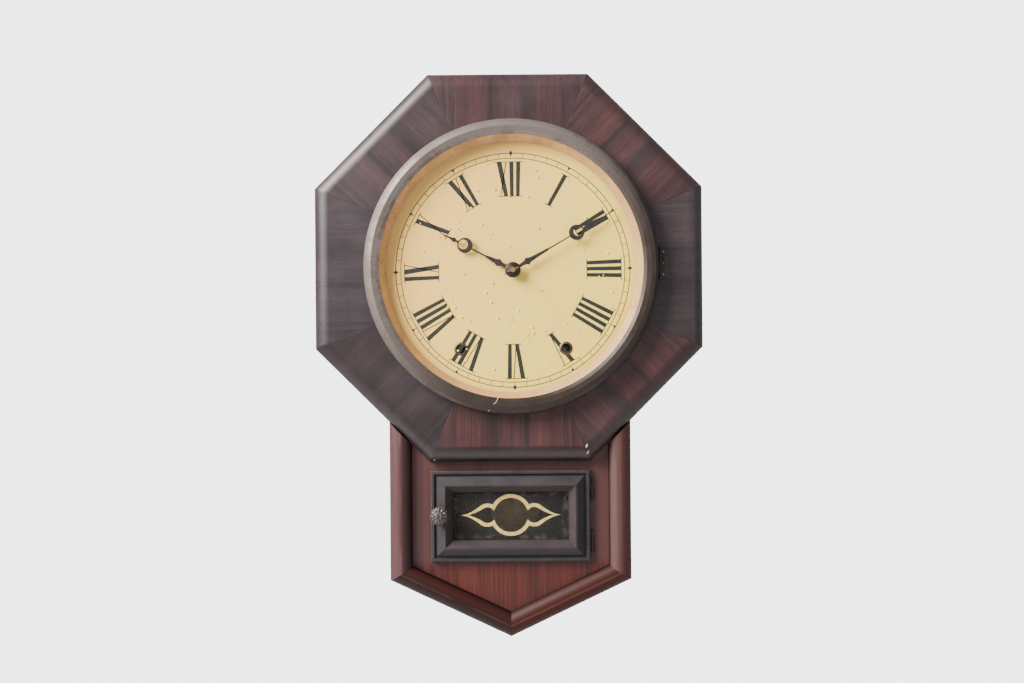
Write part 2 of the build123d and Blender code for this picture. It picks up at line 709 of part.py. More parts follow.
def winding_arbor(centre):
    """Winding arbor with its ratchet wheel and the square for the key."""
    points = []
    for i in range(RATCHET_TEETH):
        angle = 360.0 * i / RATCHET_TEETH
        points += [polar(RATCHET_R, angle, centre), polar(0.86 * RATCHET_R, angle + 3, centre)]
    ratchet = slab(polygon(*points), RATCHET_BACK, RATCHET_FRONT)
    shaft = arbor(centre, WINDING_ARBOR_R, BACK_PLATE_DEPTH - 0.6, FRONT_PLATE_FRONT + 16)
    x, z = centre
    square = box(x - 1.7, x + 1.7, z - 1.7, z + 1.7, FRONT_PLATE_FRONT + 16, OCTAGON_FRONT - 2)
    return ratchet + shaft + square


def mainsprings():
    """Two open mainsprings, each wound round its winding arbor, their ends on the lowest pillar."""
    springs = []
    for centre, way in ((TIME_MAIN, 1), (STRIKE_MAIN, -1)):
        tail = (PILLARS[4][0] + way * (PILLAR_R + 0.05), PILLARS[4][1])
        strip = spiral_strip(
            centre, SPRING_INNER_R, SPRING_OUTER_R, SPRING_TURNS, SPRING_STRIP, 12, 0, way, tail,
        )
        springs.append(slab(strip, SPRING_BACK, SPRING_FRONT))
    return Compound(springs)


def centre_arbor():
    """Centre wheel and its pinion, with the arbor that carries the cannon pinion and minute hand."""
    body = wheel(CENTRE_WHEEL, CENTRE, THIRD, 48.0, 49.0)
    body += pinion(CENTRE_PINION, CENTRE, SECOND, 55.4, 58.6)
    body += pinion(CANNON_PINION, CENTRE, MOTION, 66.2, 69.2)
    body += shaft(ARBOR_R, 0, 0, BACK_PLATE_DEPTH - 0.6, 48.0)
    return body + shaft(CENTRE_ARBOR_R, 0, 0, 48.0, GLASS_DEPTH - 0.7)


def second_wheel():
    body = wheel(SECOND_WHEEL, SECOND, CENTRE, 56.2, 57.6)
    body += pinion(SECOND_PINION, SECOND, TIME_MAIN, 32.4, 36.0)
    return body + arbor(SECOND)


def third_wheel():
    body = wheel(THIRD_WHEEL, THIRD, ESCAPE, 42.0, 43.0)
    body += pinion(THIRD_PINION, THIRD, CENTRE, 46.8, 50.2)
    return body + arbor(THIRD)


def escape_wheel():
    """Saw-toothed escape wheel and its pinion."""
    points = []
    for i in range(ESCAPE_TEETH):
        angle = 360.0 * i / ESCAPE_TEETH
        points += [polar(ESCAPE_R, angle, ESCAPE), polar(0.84 * ESCAPE_R, angle + 4.0, ESCAPE)]
    body = slab(polygon(*points), 31.0, 32.2)
    body += pinion(ESCAPE_PINION, ESCAPE, THIRD, 40.8, 44.2)
    return body + arbor(ESCAPE)


def anchor():
    """Pallets, their arbor and the crutch that grips the pendulum rod."""
    x, z = ANCHOR
    pallets = polygon(
        (-14.0, z - 12.0), (-17.0, z - 10.0), (-12.0, z - 1.0), (-3.0, z + 3.4), (3.0, z + 3.4),
        (12.0, z - 1.0), (17.0, z - 10.0), (14.0, z - 12.0), (9.6, z - 4.6), (0, z - 2.4), (-9.6, z - 4.6),
    )
    body = slab(pallets, 30.8, 32.4)
    body += shaft(ARBOR_R, x, z, 21.4, FRONT_PLATE_FRONT + 0.6)
    body += box(-1.4, 1.4, z - 44, z + 2.6, 21.4, 23.0)
    slot = ROD_R + 0.15
    body += box(-slot - 1.6, slot + 1.6, z - 44, z - 40, 21.4, 23.0)
    for side in (-1, 1):
        low, high = sorted((side * slot, side * (slot + 1.6)))
        body += box(low, high, z - 44, z - 40, PENDULUM_DEPTH - 2.6, 21.4)
    return body


def motion_wheel():
    body = wheel(MOTION_WHEEL, MOTION, CENTRE, 67.0, 68.4)
    body += pinion(MOTION_PINION, MOTION, CENTRE, 68.4, 72.8)
    return body + shaft(ARBOR_R, *MOTION, FRONT_PLATE_DEPTH - 1, 73.4)


HOUR_WHEEL_BACK = 70.4
HOUR_WHEEL_FRONT = 71.8
PIPE_R = 3.9


def hour_wheel():
    body = wheel(HOUR_WHEEL, CENTRE, MOTION, HOUR_WHEEL_BACK, HOUR_WHEEL_FRONT)
    body += shaft(PIPE_R, 0, 0, HOUR_WHEEL_FRONT, HOUR_HAND_DEPTH + HAND_THICKNESS)
    return body - slab(shaft_hole(CENTRE_ARBOR_R + RUNNING), HOUR_WHEEL_BACK - 1, MINUTE_HAND_DEPTH)


def pin_wheel():
    """Strike wheel with the star that lifts the hammer tail."""
    star = []
    for i in range(8):
        star += [polar(9.0, 45 * i, PIN), polar(5.0, 45 * i + 22.5, PIN)]
    body = wheel(PIN_WHEEL, PIN, FLY, 58.8, 60.0) + slab(polygon(*star), 54.2, 55.2)
    body += pinion(STRIKE_PINION, PIN, STRIKE_MAIN, 32.4, 36.0)
    return body + arbor(PIN)


def fly():
    """Air brake of the strike: two vanes on a pinion."""
    vane = box(FLY[0] - 13, FLY[0] + 13, FLY[1] - 0.4, FLY[1] + 0.4, 31.0, 46.0)
    return vane + pinion(FLY_PINION, FLY, PIN, 57.8, 61.0) + arbor(FLY)


def hammer():
    """Hammer with its arbor between the plates and its tail beside the lifting star."""
    x, z = HAMMER
    head = (-40.0, -122.6)
    tip = (-23.0, -41.5)
    body = shaft(ARBOR_R, x, z, 22.0, FRONT_PLATE_FRONT + 0.6)
    body += slab(bar_outline(HAMMER, tip, 1.3), 54.2, 55.2)
    body += slab(bar_outline(HAMMER, head, 1.5), 22.0, 24.4)
    return body + box(head[0] - 4, head[0] + 4, head[1] - 3.5, head[1] + 3.5, 9.6, 24.4)


def bar_outline(start, end, half):
    """A straight bar in front view, a little past its two ends."""
    run = hypot(end[0] - start[0], end[1] - start[1])
    ux, uz = (end[0] - start[0]) / run, (end[1] - start[1]) / run
    a = (start[0] - half * ux, start[1] - half * uz)
    b = (end[0] + half * ux, end[1] + half * uz)
    px, pz = -half * uz, half * ux
    return polygon(
        (a[0] + px, a[1] + pz), (b[0] + px, b[1] + pz), (b[0] - px, b[1] - pz), (a[0] - px, a[1] - pz),
    )


GONG = (-45.0, -165.0)
GONG_R = 36.0
GONG_WIRE = 3.0


def gong():
    """Coiled steel gong on its cast block, low on the backboard."""
    strip = spiral_strip(GONG, 14.0, GONG_R, 3.25, GONG_WIRE, 20, 180)
    coil = slab(strip, BACKBOARD_THICKNESS + 2, BACKBOARD_THICKNESS + 2 + GONG_WIRE)
    left = GONG[0] - GONG_R
    return coil + box(left - 8, left + 3, GONG[1] - 6, GONG[1] + 6, BACKBOARD_THICKNESS, 16)


# Hands, drawn pointing up from the centre: radius and half width along the hand

MINUTE_STATIONS = (
    (0.0, 1.6), (11.0, 1.7), (14.5, 2.3), (16.0, 3.9), (19.0, 2.5), (26.0, 1.8), (36.0, 1.25),
    (37.8, 1.5), (40.0, 0.75), (66.0, 0.55),
)
MINUTE_BLADE = (
    (77.0, 1.0), (80.5, 1.1), (83.3, 2.9), (86.5, 2.0), (94.0, 1.5), (101.5, 0.6), (116.0, 0.3),
)
MINUTE_RING = 71.3
HOUR_STATIONS = (
    (0.0, 1.8), (11.0, 1.8), (13.5, 2.4), (15.2, 3.8), (18.5, 2.4), (28.0, 1.3), (28.6, 0.8), (46.0, 0.7),
)
HOUR_BLADE = ((58.0, 1.1), (61.5, 1.0), (63.7, 2.4), (66.5, 1.2), (75.5, 0.25))
HOUR_RING = 52.0
RING_R = 7.5
RING_HOLE_R = 4.6
RING_OFFSET = 1.9


def hand(stations, blade, ring, bore, angle, depth):
    """A moon hand: hub, waisted arm, ring with its hole towards the tip, and blade."""
    outline = RegularPolygon(COLLET_R - 1.5, HEAD_SIDES)
    for run in (stations, blade):
        right = [(half, radius) for radius, half in run]
        left = [(-half, radius) for radius, half in reversed(run)]
        outline += polygon(*right, *left)
    outline += Pos(0, ring) * RegularPolygon(RING_R, 2 * HEAD_SIDES)
    outline -= Pos(0, ring + RING_OFFSET) * RegularPolygon(RING_HOLE_R, 2 * HEAD_SIDES)
    outline -= shaft_hole(bore)
    return slab(Rot(0, 0, -angle) * outline, depth, depth + HAND_THICKNESS)


def hand_collet():
    """Domed brass collet that holds the minute hand."""
    back = MINUTE_HAND_DEPTH + HAND_THICKNESS
    front = back + COLLET_HEIGHT
    steps = (
        (COLLET_R, back), (COLLET_R, back + 0.5), (0.76 * COLLET_R, back + 2.0), (CENTRE_ARBOR_R + 0.4, front),
    )
    return lathed(steps, 0, 0, HEAD_SIDES) - slab(shaft_hole(CENTRE_ARBOR_R + SEAT), back - 1, front + 1)


# Pendulum, hanging plumb

def pendulum_rod():
    """Wire rod hooked on the lower half of the suspension spring."""
    low = SUSPENSION_Z - PENDULUM_LENGTH - BOB_R - 10
    rod_part = upright(ROD_R, 0, PENDULUM_DEPTH, low, SUSPENSION_Z - 12)
    strip = box(
        -0.2, 0.2, SUSPENSION_Z - 12.5, SUSPENSION_Z - 0.2, PENDULUM_DEPTH - 2.5, PENDULUM_DEPTH + 2.5,
    )
    return rod_part + strip


def pendulum_bob():
    """Lens-shaped brass bob, bored for the rod."""
    half = BOB_THICKNESS / 2
    z = SUSPENSION_Z - PENDULUM_LENGTH
    back, front = PENDULUM_DEPTH - half, PENDULUM_DEPTH + half
    edge = 0.8
    fall = 1.2
    steps = (
        (0.2 * BOB_R, back), (0.6 * BOB_R, back + fall), (BOB_R, PENDULUM_DEPTH - edge),
        (BOB_R, PENDULUM_DEPTH + edge), (0.6 * BOB_R, front - fall), (0.2 * BOB_R, front),
    )
    lens = lathed(steps, 0, z, BOB_SIDES)
    return lens - upright(ROD_R + SEAT, 0, PENDULUM_DEPTH, z - 2 * BOB_R, z + 2 * BOB_R)


def rating_nut():
    top = SUSPENSION_Z - PENDULUM_LENGTH - BOB_R
    nut = Pos(0, -PENDULUM_DEPTH, top - 4) * extrude(RegularPolygon(4.5, 12), 4)
    return nut - upright(ROD_R + SEAT, 0, PENDULUM_DEPTH, top - 5, top + 1)


# Every sub-part under its own name

def case_pieces():
    pieces = {
        "backboard": backboard(),
        "case_side_left": case_side(-1),
        "case_side_right": case_side(1),
        "case_top_board": case_top(),
        "case_floor_left": case_floor(-1),
        "case_floor_right": case_floor(1),
        "drop_front_panel": front_panel(),
        "hanger_plate": hanger_plate(),
        "dial_plate": dial_plate(),
        "winding_eyelets": winding_eyelets(),
    }
    for number in range(8):
        pieces[f"octagon_segment_{number + 1}"] = octagon_segment(number)
    return {**pieces, **drop_mouldings()}


def opening_pieces():
    fixed_leaves, moving_leaves = door_hinges()
    return {
        "bezel_ring": bezel_ring(),
        "sight_ring": sight_ring(),
        "bezel_glass": bezel_glass(),
        "bezel_hinge_fixed_leaf": bezel_hinge_fixed(),
        "bezel_hinge_moving_leaf": bezel_hinge_moving(),
        **door_frame(),
        "door_glass": door_glass(),
        "door_hinge_fixed_leaves": fixed_leaves,
        "door_hinge_moving_leaves": moving_leaves,
        "door_knob": door_knob(),
    }


def movement_pieces():
    minute = (MINUTE_STATIONS, MINUTE_BLADE, MINUTE_RING)
    hour = (HOUR_STATIONS, HOUR_BLADE, HOUR_RING)
    return {
        "movement_back_plate": back_plate(),
        "movement_front_plate": front_plate(),
        "movement_feet": movement_feet(),
        "mainsprings": mainsprings(),
        "gong": gong(),
        "minute_hand": hand(*minute, CENTRE_ARBOR_R + SEAT, MINUTE_ANGLE, MINUTE_HAND_DEPTH),
        "hand_collet": hand_collet(),
        "centre_arbor": centre_arbor(),
        "hour_hand": hand(*hour, PIPE_R + SEAT, HOUR_ANGLE, HOUR_HAND_DEPTH),
        "hour_wheel": hour_wheel(),
        "motion_wheel": motion_wheel(),
        "time_main_wheel": main_wheel(TIME_MAIN, SECOND),
        "time_winding_arbor": winding_arbor(TIME_MAIN),
        "second_wheel": second_wheel(),
        "third_wheel": third_wheel(),
        "escape_wheel": escape_wheel(),
        "anchor": anchor(),
        "pendulum_rod": pendulum_rod(),
        "pendulum_bob": pendulum_bob(),
        "rating_nut": rating_nut(),
        "strike_main_wheel": main_wheel(STRIKE_MAIN, PIN),
        "strike_winding_arbor": winding_arbor(STRIKE_MAIN),
        "strike_pin_wheel": pin_wheel(),
        "strike_fly": fly(),
        "hammer": hammer(),
    }


def main():
    os.makedirs("parts", exist_ok=True)
    movement_place = Pos(DIAL_X, 0, DIAL_Z)
    parts = {**case_pieces(), **opening_pieces()}
    for name, piece in movement_pieces().items():
        parts[name] = movement_place * piece
    for name, piece in parts.items():
        export_step(piece, f"parts/{name}.step")


main()
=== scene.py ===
# %% [markdown]
# An octagonal wall clock: a wide veneered frame, a round brass bezel over a paper dial, and a
# pointed drop with a small glazed door. The exact solids come in as a fixed frame, so nothing
# here is fitted by eye. This lesson only adds what the eye sees: light, finishes, print and wear.

# %% Load the frame
import math

import bpy
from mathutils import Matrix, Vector


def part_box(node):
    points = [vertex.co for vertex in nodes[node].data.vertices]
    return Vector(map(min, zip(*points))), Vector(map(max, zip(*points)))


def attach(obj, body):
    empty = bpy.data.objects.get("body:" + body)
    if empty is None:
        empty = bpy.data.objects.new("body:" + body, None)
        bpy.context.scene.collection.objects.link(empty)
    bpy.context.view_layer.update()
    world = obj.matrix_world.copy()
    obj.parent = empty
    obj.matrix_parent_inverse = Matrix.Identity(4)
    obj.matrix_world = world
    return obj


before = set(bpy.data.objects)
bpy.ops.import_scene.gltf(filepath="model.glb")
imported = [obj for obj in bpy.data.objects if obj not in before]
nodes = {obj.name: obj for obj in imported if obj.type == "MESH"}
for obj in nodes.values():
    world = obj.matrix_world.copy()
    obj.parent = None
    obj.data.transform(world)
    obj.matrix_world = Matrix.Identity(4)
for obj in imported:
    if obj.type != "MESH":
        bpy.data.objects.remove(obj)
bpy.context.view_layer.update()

MM = 0.001

# %% [markdown]
# The clock was photographed straight on, a little below the dial's centre. A camera can be aimed
# by a constraint or set by its place and angles. Plain numbers are used here, because the height,
# the distance and the small roll were each measured. The clock hung a touch askew, so the camera
# rolls instead of the clock, which stays upright in its own frame.

# %% Camera
CAMERA_PLACE = (2.66 * MM, -1180 * MM, -222.3 * MM)
CAMERA_ROLL = 0.44

camera_data = bpy.data.cameras.new("camera")
camera_data.sensor_width = 36.0
camera_data.lens = 39.3
camera = bpy.data.objects.new("camera", camera_data)
camera.location = CAMERA_PLACE
camera.rotation_euler = (math.pi / 2, math.radians(CAMERA_ROLL), 0)
bpy.context.scene.collection.objects.link(camera)
bpy.context.scene.camera = camera
print("camera at", tuple(round(c, 3) for c in camera.location))

# %% [markdown]
# Daylight from a large window on the left made soft shadows to the right and below. One big area
# light stands for the window, a weak one opens the shadows, and a pale world fills the rest. The
# camera sees that world brighter than it shines, to stand for the white wall that isn't modelled. A
# sky texture would also work, but it would tint the old wood blue.

# %% Light and surroundings
def area_light(name, place, target, size, power, colour):
    data = bpy.data.lights.new(name, "AREA")
    data.shape, data.size, data.size_y = "RECTANGLE", size[0], size[1]
    data.energy, data.color = power, colour
    light = bpy.data.objects.new(name, data)
    light.location = place
    aim = Vector(target) - Vector(place)
    light.rotation_euler = aim.to_track_quat("-Z", "Y").to_euler()
    bpy.context.scene.collection.objects.link(light)


AIM = (0, -0.05, -0.25)
area_light("window", (-1.6, -1.05, 0.95), AIM, (1.1, 1.3), 205, (1.0, 0.98, 0.94))
area_light("room", (1.5, -1.7, 0.1), AIM, (1.2, 1.2), 5, (1.0, 0.97, 0.93))

world = bpy.data.worlds.new("pale_room")
world.use_nodes = True
room_tree = world.node_tree
room_tree.nodes.clear()
seen, shining = [room_tree.nodes.new("ShaderNodeBackground") for _ in range(2)]
seen.inputs["Color"].default_value = (0.97, 0.98, 1.0, 1)
seen.inputs["Strength"].default_value = 4.2
shining.inputs["Color"].default_value = (0.93, 0.95, 0.97, 1)
shining.inputs["Strength"].default_value = 0.52
path = room_tree.nodes.new("ShaderNodeLightPath")
choice = room_tree.nodes.new("ShaderNodeMixShader")
room_out = room_tree.nodes.new("ShaderNodeOutputWorld")
room_tree.links.new(path.outputs["Is Camera Ray"], choice.inputs[0])
room_tree.links.new(shining.outputs[0], choice.inputs[1])
room_tree.links.new(seen.outputs[0], choice.inputs[2])
room_tree.links.new(choice.outputs[0], room_out.inputs["Surface"])
bpy.context.scene.world = world

# %% [markdown]
# Every finish below is worked out by nodes. Written node by node that is long, so two small tools
# come first. A Value wraps one socket and can be added or multiplied like a number. A Bench wraps
# a node tree and sets up any node in one line, from its type, its settings and its sockets.

# %% Tools for node trees
class Value:
    """One socket of a node tree, used in sums as a number is."""

    def __init__(self, bench, socket):
        self.bench, self.socket = bench, socket

    def math(self, operation, first, second=0.0):
        settings = {"operation": operation}
        node = self.bench.node("ShaderNodeMath", settings, {"Value": first, "Value_001": second})
        return Value(self.bench, node.outputs[0])

    def __add__(self, other):
        return self.math("ADD", self, other)

    __radd__ = __add__

    def __sub__(self, other):
        return self.math("SUBTRACT", self, other)

    def __rsub__(self, other):
        return self.math("SUBTRACT", other, self)

    def __mul__(self, other):
        return self.math("MULTIPLY", self, other)

    def __truediv__(self, other):
        return self.math("DIVIDE", self, other)

    def __pow__(self, other):
        return self.math("POWER", self, other)

    def __abs__(self):
        return self.math("ABSOLUTE", self)

    def above(self, low, high):
        """0 below the low value, 1 above the high one, and a smooth change between."""
        node = self.bench.node(
            "ShaderNodeMapRange", {"interpolation_type": "SMOOTHSTEP"},
            {"Value": self, "From Min": low, "From Max": high},
        )
        return Value(self.bench, node.outputs[0])

    def larger(self, other):
        return self.math("MAXIMUM", self, other)


class Bench:
    """A node tree with one way to add any node to it."""

    def __init__(self, tree):
        self.tree = tree

    def feed(self, socket, value):
        if isinstance(value, Value):
            value = value.socket
        if isinstance(value, bpy.types.NodeSocket):
            self.tree.links.new(value, socket)
        elif socket.type == "RGBA" and len(value) == 3:
            socket.default_value = (*value, 1)
        else:
            socket.default_value = value

    def node(self, kind, settings=None, sockets=None):
        node = self.tree.nodes.new(kind)
        for key, value in (settings or {}).items():
            setattr(node, key, value)
        for key, value in (sockets or {}).items():
            by_identifier = [s for s in node.inputs if s.identifier == key]
            by_name = [s for s in node.inputs if s.name == key and s.enabled]
            self.feed((by_identifier or by_name)[0], value)
        return node


def paint(red, green, blue):
    """A colour given as a screen shows it, from 0 to 255, made linear for the shader."""
    linear = []
    for part in (red, green, blue):
        share = part / 255
        linear.append(share / 12.92 if share <= 0.04045 else ((share + 0.055) / 1.055) ** 2.4)
    return tuple(linear)


print("mid grey is", round(paint(128, 128, 128)[0], 3), "in the shader")


# %% [markdown]
# A finish starts from a Principled shader and the piece's own coordinates, which are metres in the
# clock's frame. The Mapping node turns them so that one axis runs with the grain. Fine noise gives
# pores, broad noise gives clouds of tone, and a Bump node turns the same pattern into relief.

# %% The base of every finish
class Finish(Bench):
    """A material with a Principled shader and helpers for patterns in millimetres."""

    def __init__(self, name):
        self.material = bpy.data.materials.new(name)
        self.material.use_nodes = True
        super().__init__(self.material.node_tree)
        self.tree.nodes.clear()
        self.shader = self.node("ShaderNodeBsdfPrincipled")
        self.node("ShaderNodeOutputMaterial", {}, {"Surface": self.shader.outputs[0]})
        self.place = self.node("ShaderNodeTexCoord").outputs["Object"]

    def set(self, **values):
        for key, value in values.items():
            self.feed(self.shader.inputs[key.replace("_", " ")], value)
        return self

    def turned(self, centre=(0, 0, 0), angle=0.0, cell=(1, 1, 1)):
        """Coordinates about a centre, with Z along a clock angle, and the cell's size in mm as 1."""
        return self.node(
            "ShaderNodeMapping", {"vector_type": "TEXTURE"},
            {
                "Vector": self.place, "Location": [c * MM for c in centre],
                "Rotation": (0, math.radians(angle), 0), "Scale": [c * MM for c in cell],
            },
        ).outputs[0]

    def parts(self, vector):
        node = self.node("ShaderNodeSeparateXYZ", {}, {"Vector": vector})
        return [Value(self, socket) for socket in node.outputs]

    def noise(self, vector, detail=3.0, rough=0.55, warp=0.0):
        node = self.node(
            "ShaderNodeTexNoise", {},
            {"Vector": vector, "Scale": 1.0, "Detail": detail, "Roughness": rough, "Distortion": warp},
        )
        return Value(self, node.outputs[0])

    def blend(self, share, first, second, kind="MIX"):
        node = self.node(
            "ShaderNodeMix", {"data_type": "RGBA", "blend_type": kind},
            {"Factor_Float": share, "A_Color": first, "B_Color": second},
        )
        return node.outputs[2]

    def bump(self, height, depth_mm, strength=1.0):
        node = self.node(
            "ShaderNodeBump", {}, {"Height": height, "Distance": depth_mm * MM, "Strength": strength},
        )
        self.feed(self.shader.inputs["Normal"], node.outputs[0])
        return self


def dress(finish, *names):
    """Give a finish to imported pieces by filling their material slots."""
    for name in names:
        mesh = nodes[name].data
        if not mesh.materials:
            mesh.materials.append(finish.material)
        for i in range(len(mesh.materials)):
            mesh.materials[i] = finish.material


print("finish tools ready")

# %% [markdown]
# The floor is a plain pale sheet, well below the clock; it is not part of the object. It is small enough to
# stay out of the straight-on view.

# %% Floor
FLOOR_Z = -1.25
FLOOR_HALF = 1.3
floor_mesh = bpy.data.meshes.new("floor")
corners = [(-FLOOR_HALF, -FLOOR_HALF, FLOOR_Z), (FLOOR_HALF, -FLOOR_HALF, FLOOR_Z),
           (FLOOR_HALF, FLOOR_HALF, FLOOR_Z), (-FLOOR_HALF, FLOOR_HALF, FLOOR_Z)]
floor_mesh.from_pydata(corners, [], [(0, 1, 2, 3)])
floor = bpy.data.objects.new("floor", floor_mesh)
bpy.context.scene.collection.objects.link(floor)
plain = Finish("floor_pale")
plain.set(Base_Color=(0.8, 0.8, 0.79), Roughness=0.85)
floor_mesh.materials.append(plain.material)
print("floor", FLOOR_Z, "m below the hanging hole")

# %% [markdown]
# The frame is pine under cross-banded rosewood veneer: on each of the eight sides the grain runs
# straight out from the dial. A single grain direction would give this away as a stamped plate, so
# one function makes eight finishes, each turned to its own side. Every side is also pieced from
# two leaves of veneer, so the tone steps at a seam. Old polish is uneven and catches light.

# %% Veneer on the octagon
OCTAGON_CENTRE = (0, 0, -150)
SHOULDER_START = 173.5
OUTER_EDGE = 190.0
LAND_DEPTH = 82.0
HALF_CORNER = math.tan(math.radians(22.5))
# Places where the veneer is chipped: x, z and size.
CHIPS = ((74.4, -324.0, 2.6), (75.6, -330.5, 2.2), (-73.9, -337.2, 1.6), (-118.0, -78.0, 1.2))


def veneer(name, angle, light, dark, seam, step, painted_shoulder_shade):
    """Cross-banded veneer, its grain along a clock angle, with one seam between two leaves."""
    f = Finish(name)
    across, y, out = f.parts(f.turned(OCTAGON_CENTRE, angle))
    front = (0 - y).above(LAND_DEPTH - 1.5, LAND_DEPTH)
    grain = f.noise(f.turned(OCTAGON_CENTRE, angle, (1.3, 3, 60)), 5, 0.6, 0.3)
    pores = f.noise(f.turned(OCTAGON_CENTRE, angle, (0.35, 1, 9)), 3, 0.5)
    bands = f.noise(f.turned(OCTAGON_CENTRE, angle, (11, 30, 160)), 2, 0.5)
    cloud = f.noise(f.turned((0, 0, 0), 0, (55, 55, 55)), 3, 0.6)
    tone = (grain * 0.7 + bands * 0.7 - 0.42).above(0.08, 0.5)
    wood = f.blend(tone, dark, light)
    wood = f.blend(pores.above(0.5, 0.66) * 0.55, wood, paint(24, 12, 14))
    leaf = (across - seam).above(-0.15, 0.15)
    wood = f.blend(leaf * step, wood, paint(38, 20, 24))
    mitre = (abs(across) + 0.55 - out * HALF_CORNER).above(-0.1, 0.35)
    seam_line = 1 - abs(across - seam).above(0.1, 0.45)
    wood = f.blend((mitre * 0.8).larger(seam_line * 0.5), wood, paint(18, 8, 9))
    # Painted shade: the rounded outer edge darkens, most on the lower sides, which face away from the light.
    wood = f.blend(out.above(SHOULDER_START - 1, SHOULDER_START + 2) * painted_shoulder_shade, wood, paint(24, 11, 13))
    worn = f.noise(f.turned((0, 0, 0), 0, (6, 6, 6)), 3, 0.6)
    arris = out.above(OUTER_EDGE - 0.9, OUTER_EDGE - 0.2) * worn.above(0.5, 0.62) * front
    wood = f.blend(arris * 0.35, wood, paint(120, 84, 72))
    wood = f.blend(cloud.above(0.4, 0.8) * 0.1, wood, paint(96, 84, 90))
    for chip_x, chip_z, size in CHIPS:
        x, _, z = f.parts(f.turned((chip_x, 0, chip_z), 25, (size * 0.45, 1, size)))
        spot = 1 - ((x * x + z * z) ** 0.5 + worn * 1.2).above(1.25, 1.5)
        wood = f.blend(spot * 0.9, wood, paint(200, 176, 140))
    f.set(Base_Color=wood, Roughness=0.36 + cloud * 0.22 - pores * 0.05, Specular_IOR_Level=0.55)
    return f.bump(grain * 0.5 + pores * 0.5 - mitre * 1.2 - seam_line * 0.8, 0.12, 0.5)


# Clock angle, light and dark wood, the seam's place, the step of tone, the painted shade on the rounded outer
# edge.
SIDES = (
    (180, paint(86, 46, 44), paint(37, 20, 21), -4.0, 0.3, 0.85),
    (135, paint(84, 45, 45), paint(40, 25, 27), 18.0, 0.2, 0.5),
    (90, paint(64, 49, 52), paint(38, 30, 33), -22.0, 0.15, 0.1),
    (45, paint(79, 44, 44), paint(39, 23, 26), 12.0, 0.2, 0.1),
    (0, paint(75, 42, 44), paint(34, 20, 24), -31.0, 0.25, 0.0),
    (-45, paint(66, 43, 46), paint(32, 23, 26), 24.0, 0.2, 0.0),
    (-90, paint(54, 43, 48), paint(31, 24, 29), -14.0, 0.25, 0.0),
    (-135, paint(49, 35, 37), paint(26, 18, 21), 8.0, 0.3, 0.4),
)
for number, side in enumerate(SIDES, 1):
    dress(veneer(f"veneer_side_{number}", *side), f"octagon_segment_{number}")
print("veneer on", len(SIDES), "sides")

# %% [markdown]
# The half-round mouldings of the drop are veneered too, with the grain along their length. A pale painted
# highlight runs along the crest, and a painted shadow darkens the groove at the inner edge. One function
# paints a moulding from its direction and from the colours of its outer and inner halves, which are painted
# light and shade of the half-round.

# %% Mouldings of the drop
MOULDING_WIDTH = 22.0


def moulding(name, angle, corner, outer, inner, crest, gloss):
    """Veneer along a moulding; the corner is a point on its outer edge, the angle runs along it."""
    f = Finish(name)
    across, _, _ = f.parts(f.turned(corner, angle))
    width = abs(across) / MOULDING_WIDTH
    grain = f.noise(f.turned(corner, angle, (1.4, 2, 45)), 4, 0.6, 0.4)
    cloud = f.noise(f.turned(corner, angle, (30, 30, 60)), 3, 0.6)
    # The halves' colours are painted light and shade of the half-round.
    wood = f.blend(width.above(0.35, 0.75), outer, inner)
    wood = f.blend((grain - 0.1).above(0.25, 0.65) * 0.45, wood, paint(40, 18, 16))
    # Painted highlight: a pale, patchy line along the crest.
    crest_highlight = width.above(0.42, 0.5) * (1 - width.above(0.5, 0.58)) * cloud.above(0.3, 0.6)
    wood = f.blend(crest_highlight * crest, wood, paint(176, 140, 122))
    # Painted shadow: a dark line in the groove at the inner edge.
    painted_groove_shadow = width.above(0.93, 0.97)
    wood = f.blend(painted_groove_shadow * 0.9, wood, paint(14, 7, 7))
    f.set(Base_Color=wood, Roughness=0.4 + cloud * 0.2, Specular_IOR_Level=gloss)
    return f.bump(grain, 0.08, 0.4)


HALF_BOX = 118.5
BOX_CORNER_Z = -456.2
BOX_POINT = 56.0
SLOPE = math.degrees(math.atan2(HALF_BOX, BOX_POINT))
LEFT_CORNER, RIGHT_CORNER = (-HALF_BOX, 0, BOX_CORNER_Z), (HALF_BOX, 0, BOX_CORNER_Z)
# Name, clock angle, corner, outer and inner wood as painted light and shade, the painted highlight on the
# crest, gloss.
MOULDINGS = (
    ("moulding_left", 0, (-HALF_BOX, 0, 0), paint(79, 49, 51), paint(48, 23, 24), 0.12, 0.42),
    ("moulding_right", 0, (HALF_BOX, 0, 0), paint(72, 33, 29), paint(81, 55, 53), 0.05, 0.42),
    ("moulding_lower_left", 180 - SLOPE, LEFT_CORNER, paint(32, 12, 12), paint(46, 17, 15), 0.06, 0.2),
    ("moulding_lower_right", 180 + SLOPE, RIGHT_CORNER, paint(58, 19, 14), paint(54, 18, 14), 0.08, 0.2),
)
for name, *look in MOULDINGS:
    dress(moulding(name, *look), name)
print("lower mouldings run at", round(SLOPE, 1), "degrees from the upright")

# %% [markdown]
# The panel of the drop is plain mahogany with upright grain. Under the door it is a warm red, and
# above and beside the door handling and smoke have turned it dark. The change follows height, so
# the Z coordinate steers the mix. The box behind is the same wood with less polish.

# %% Mahogany panel and box
DOOR_LOW = -437.7
TIP_LOW, TIP_HIGH = -486, -452


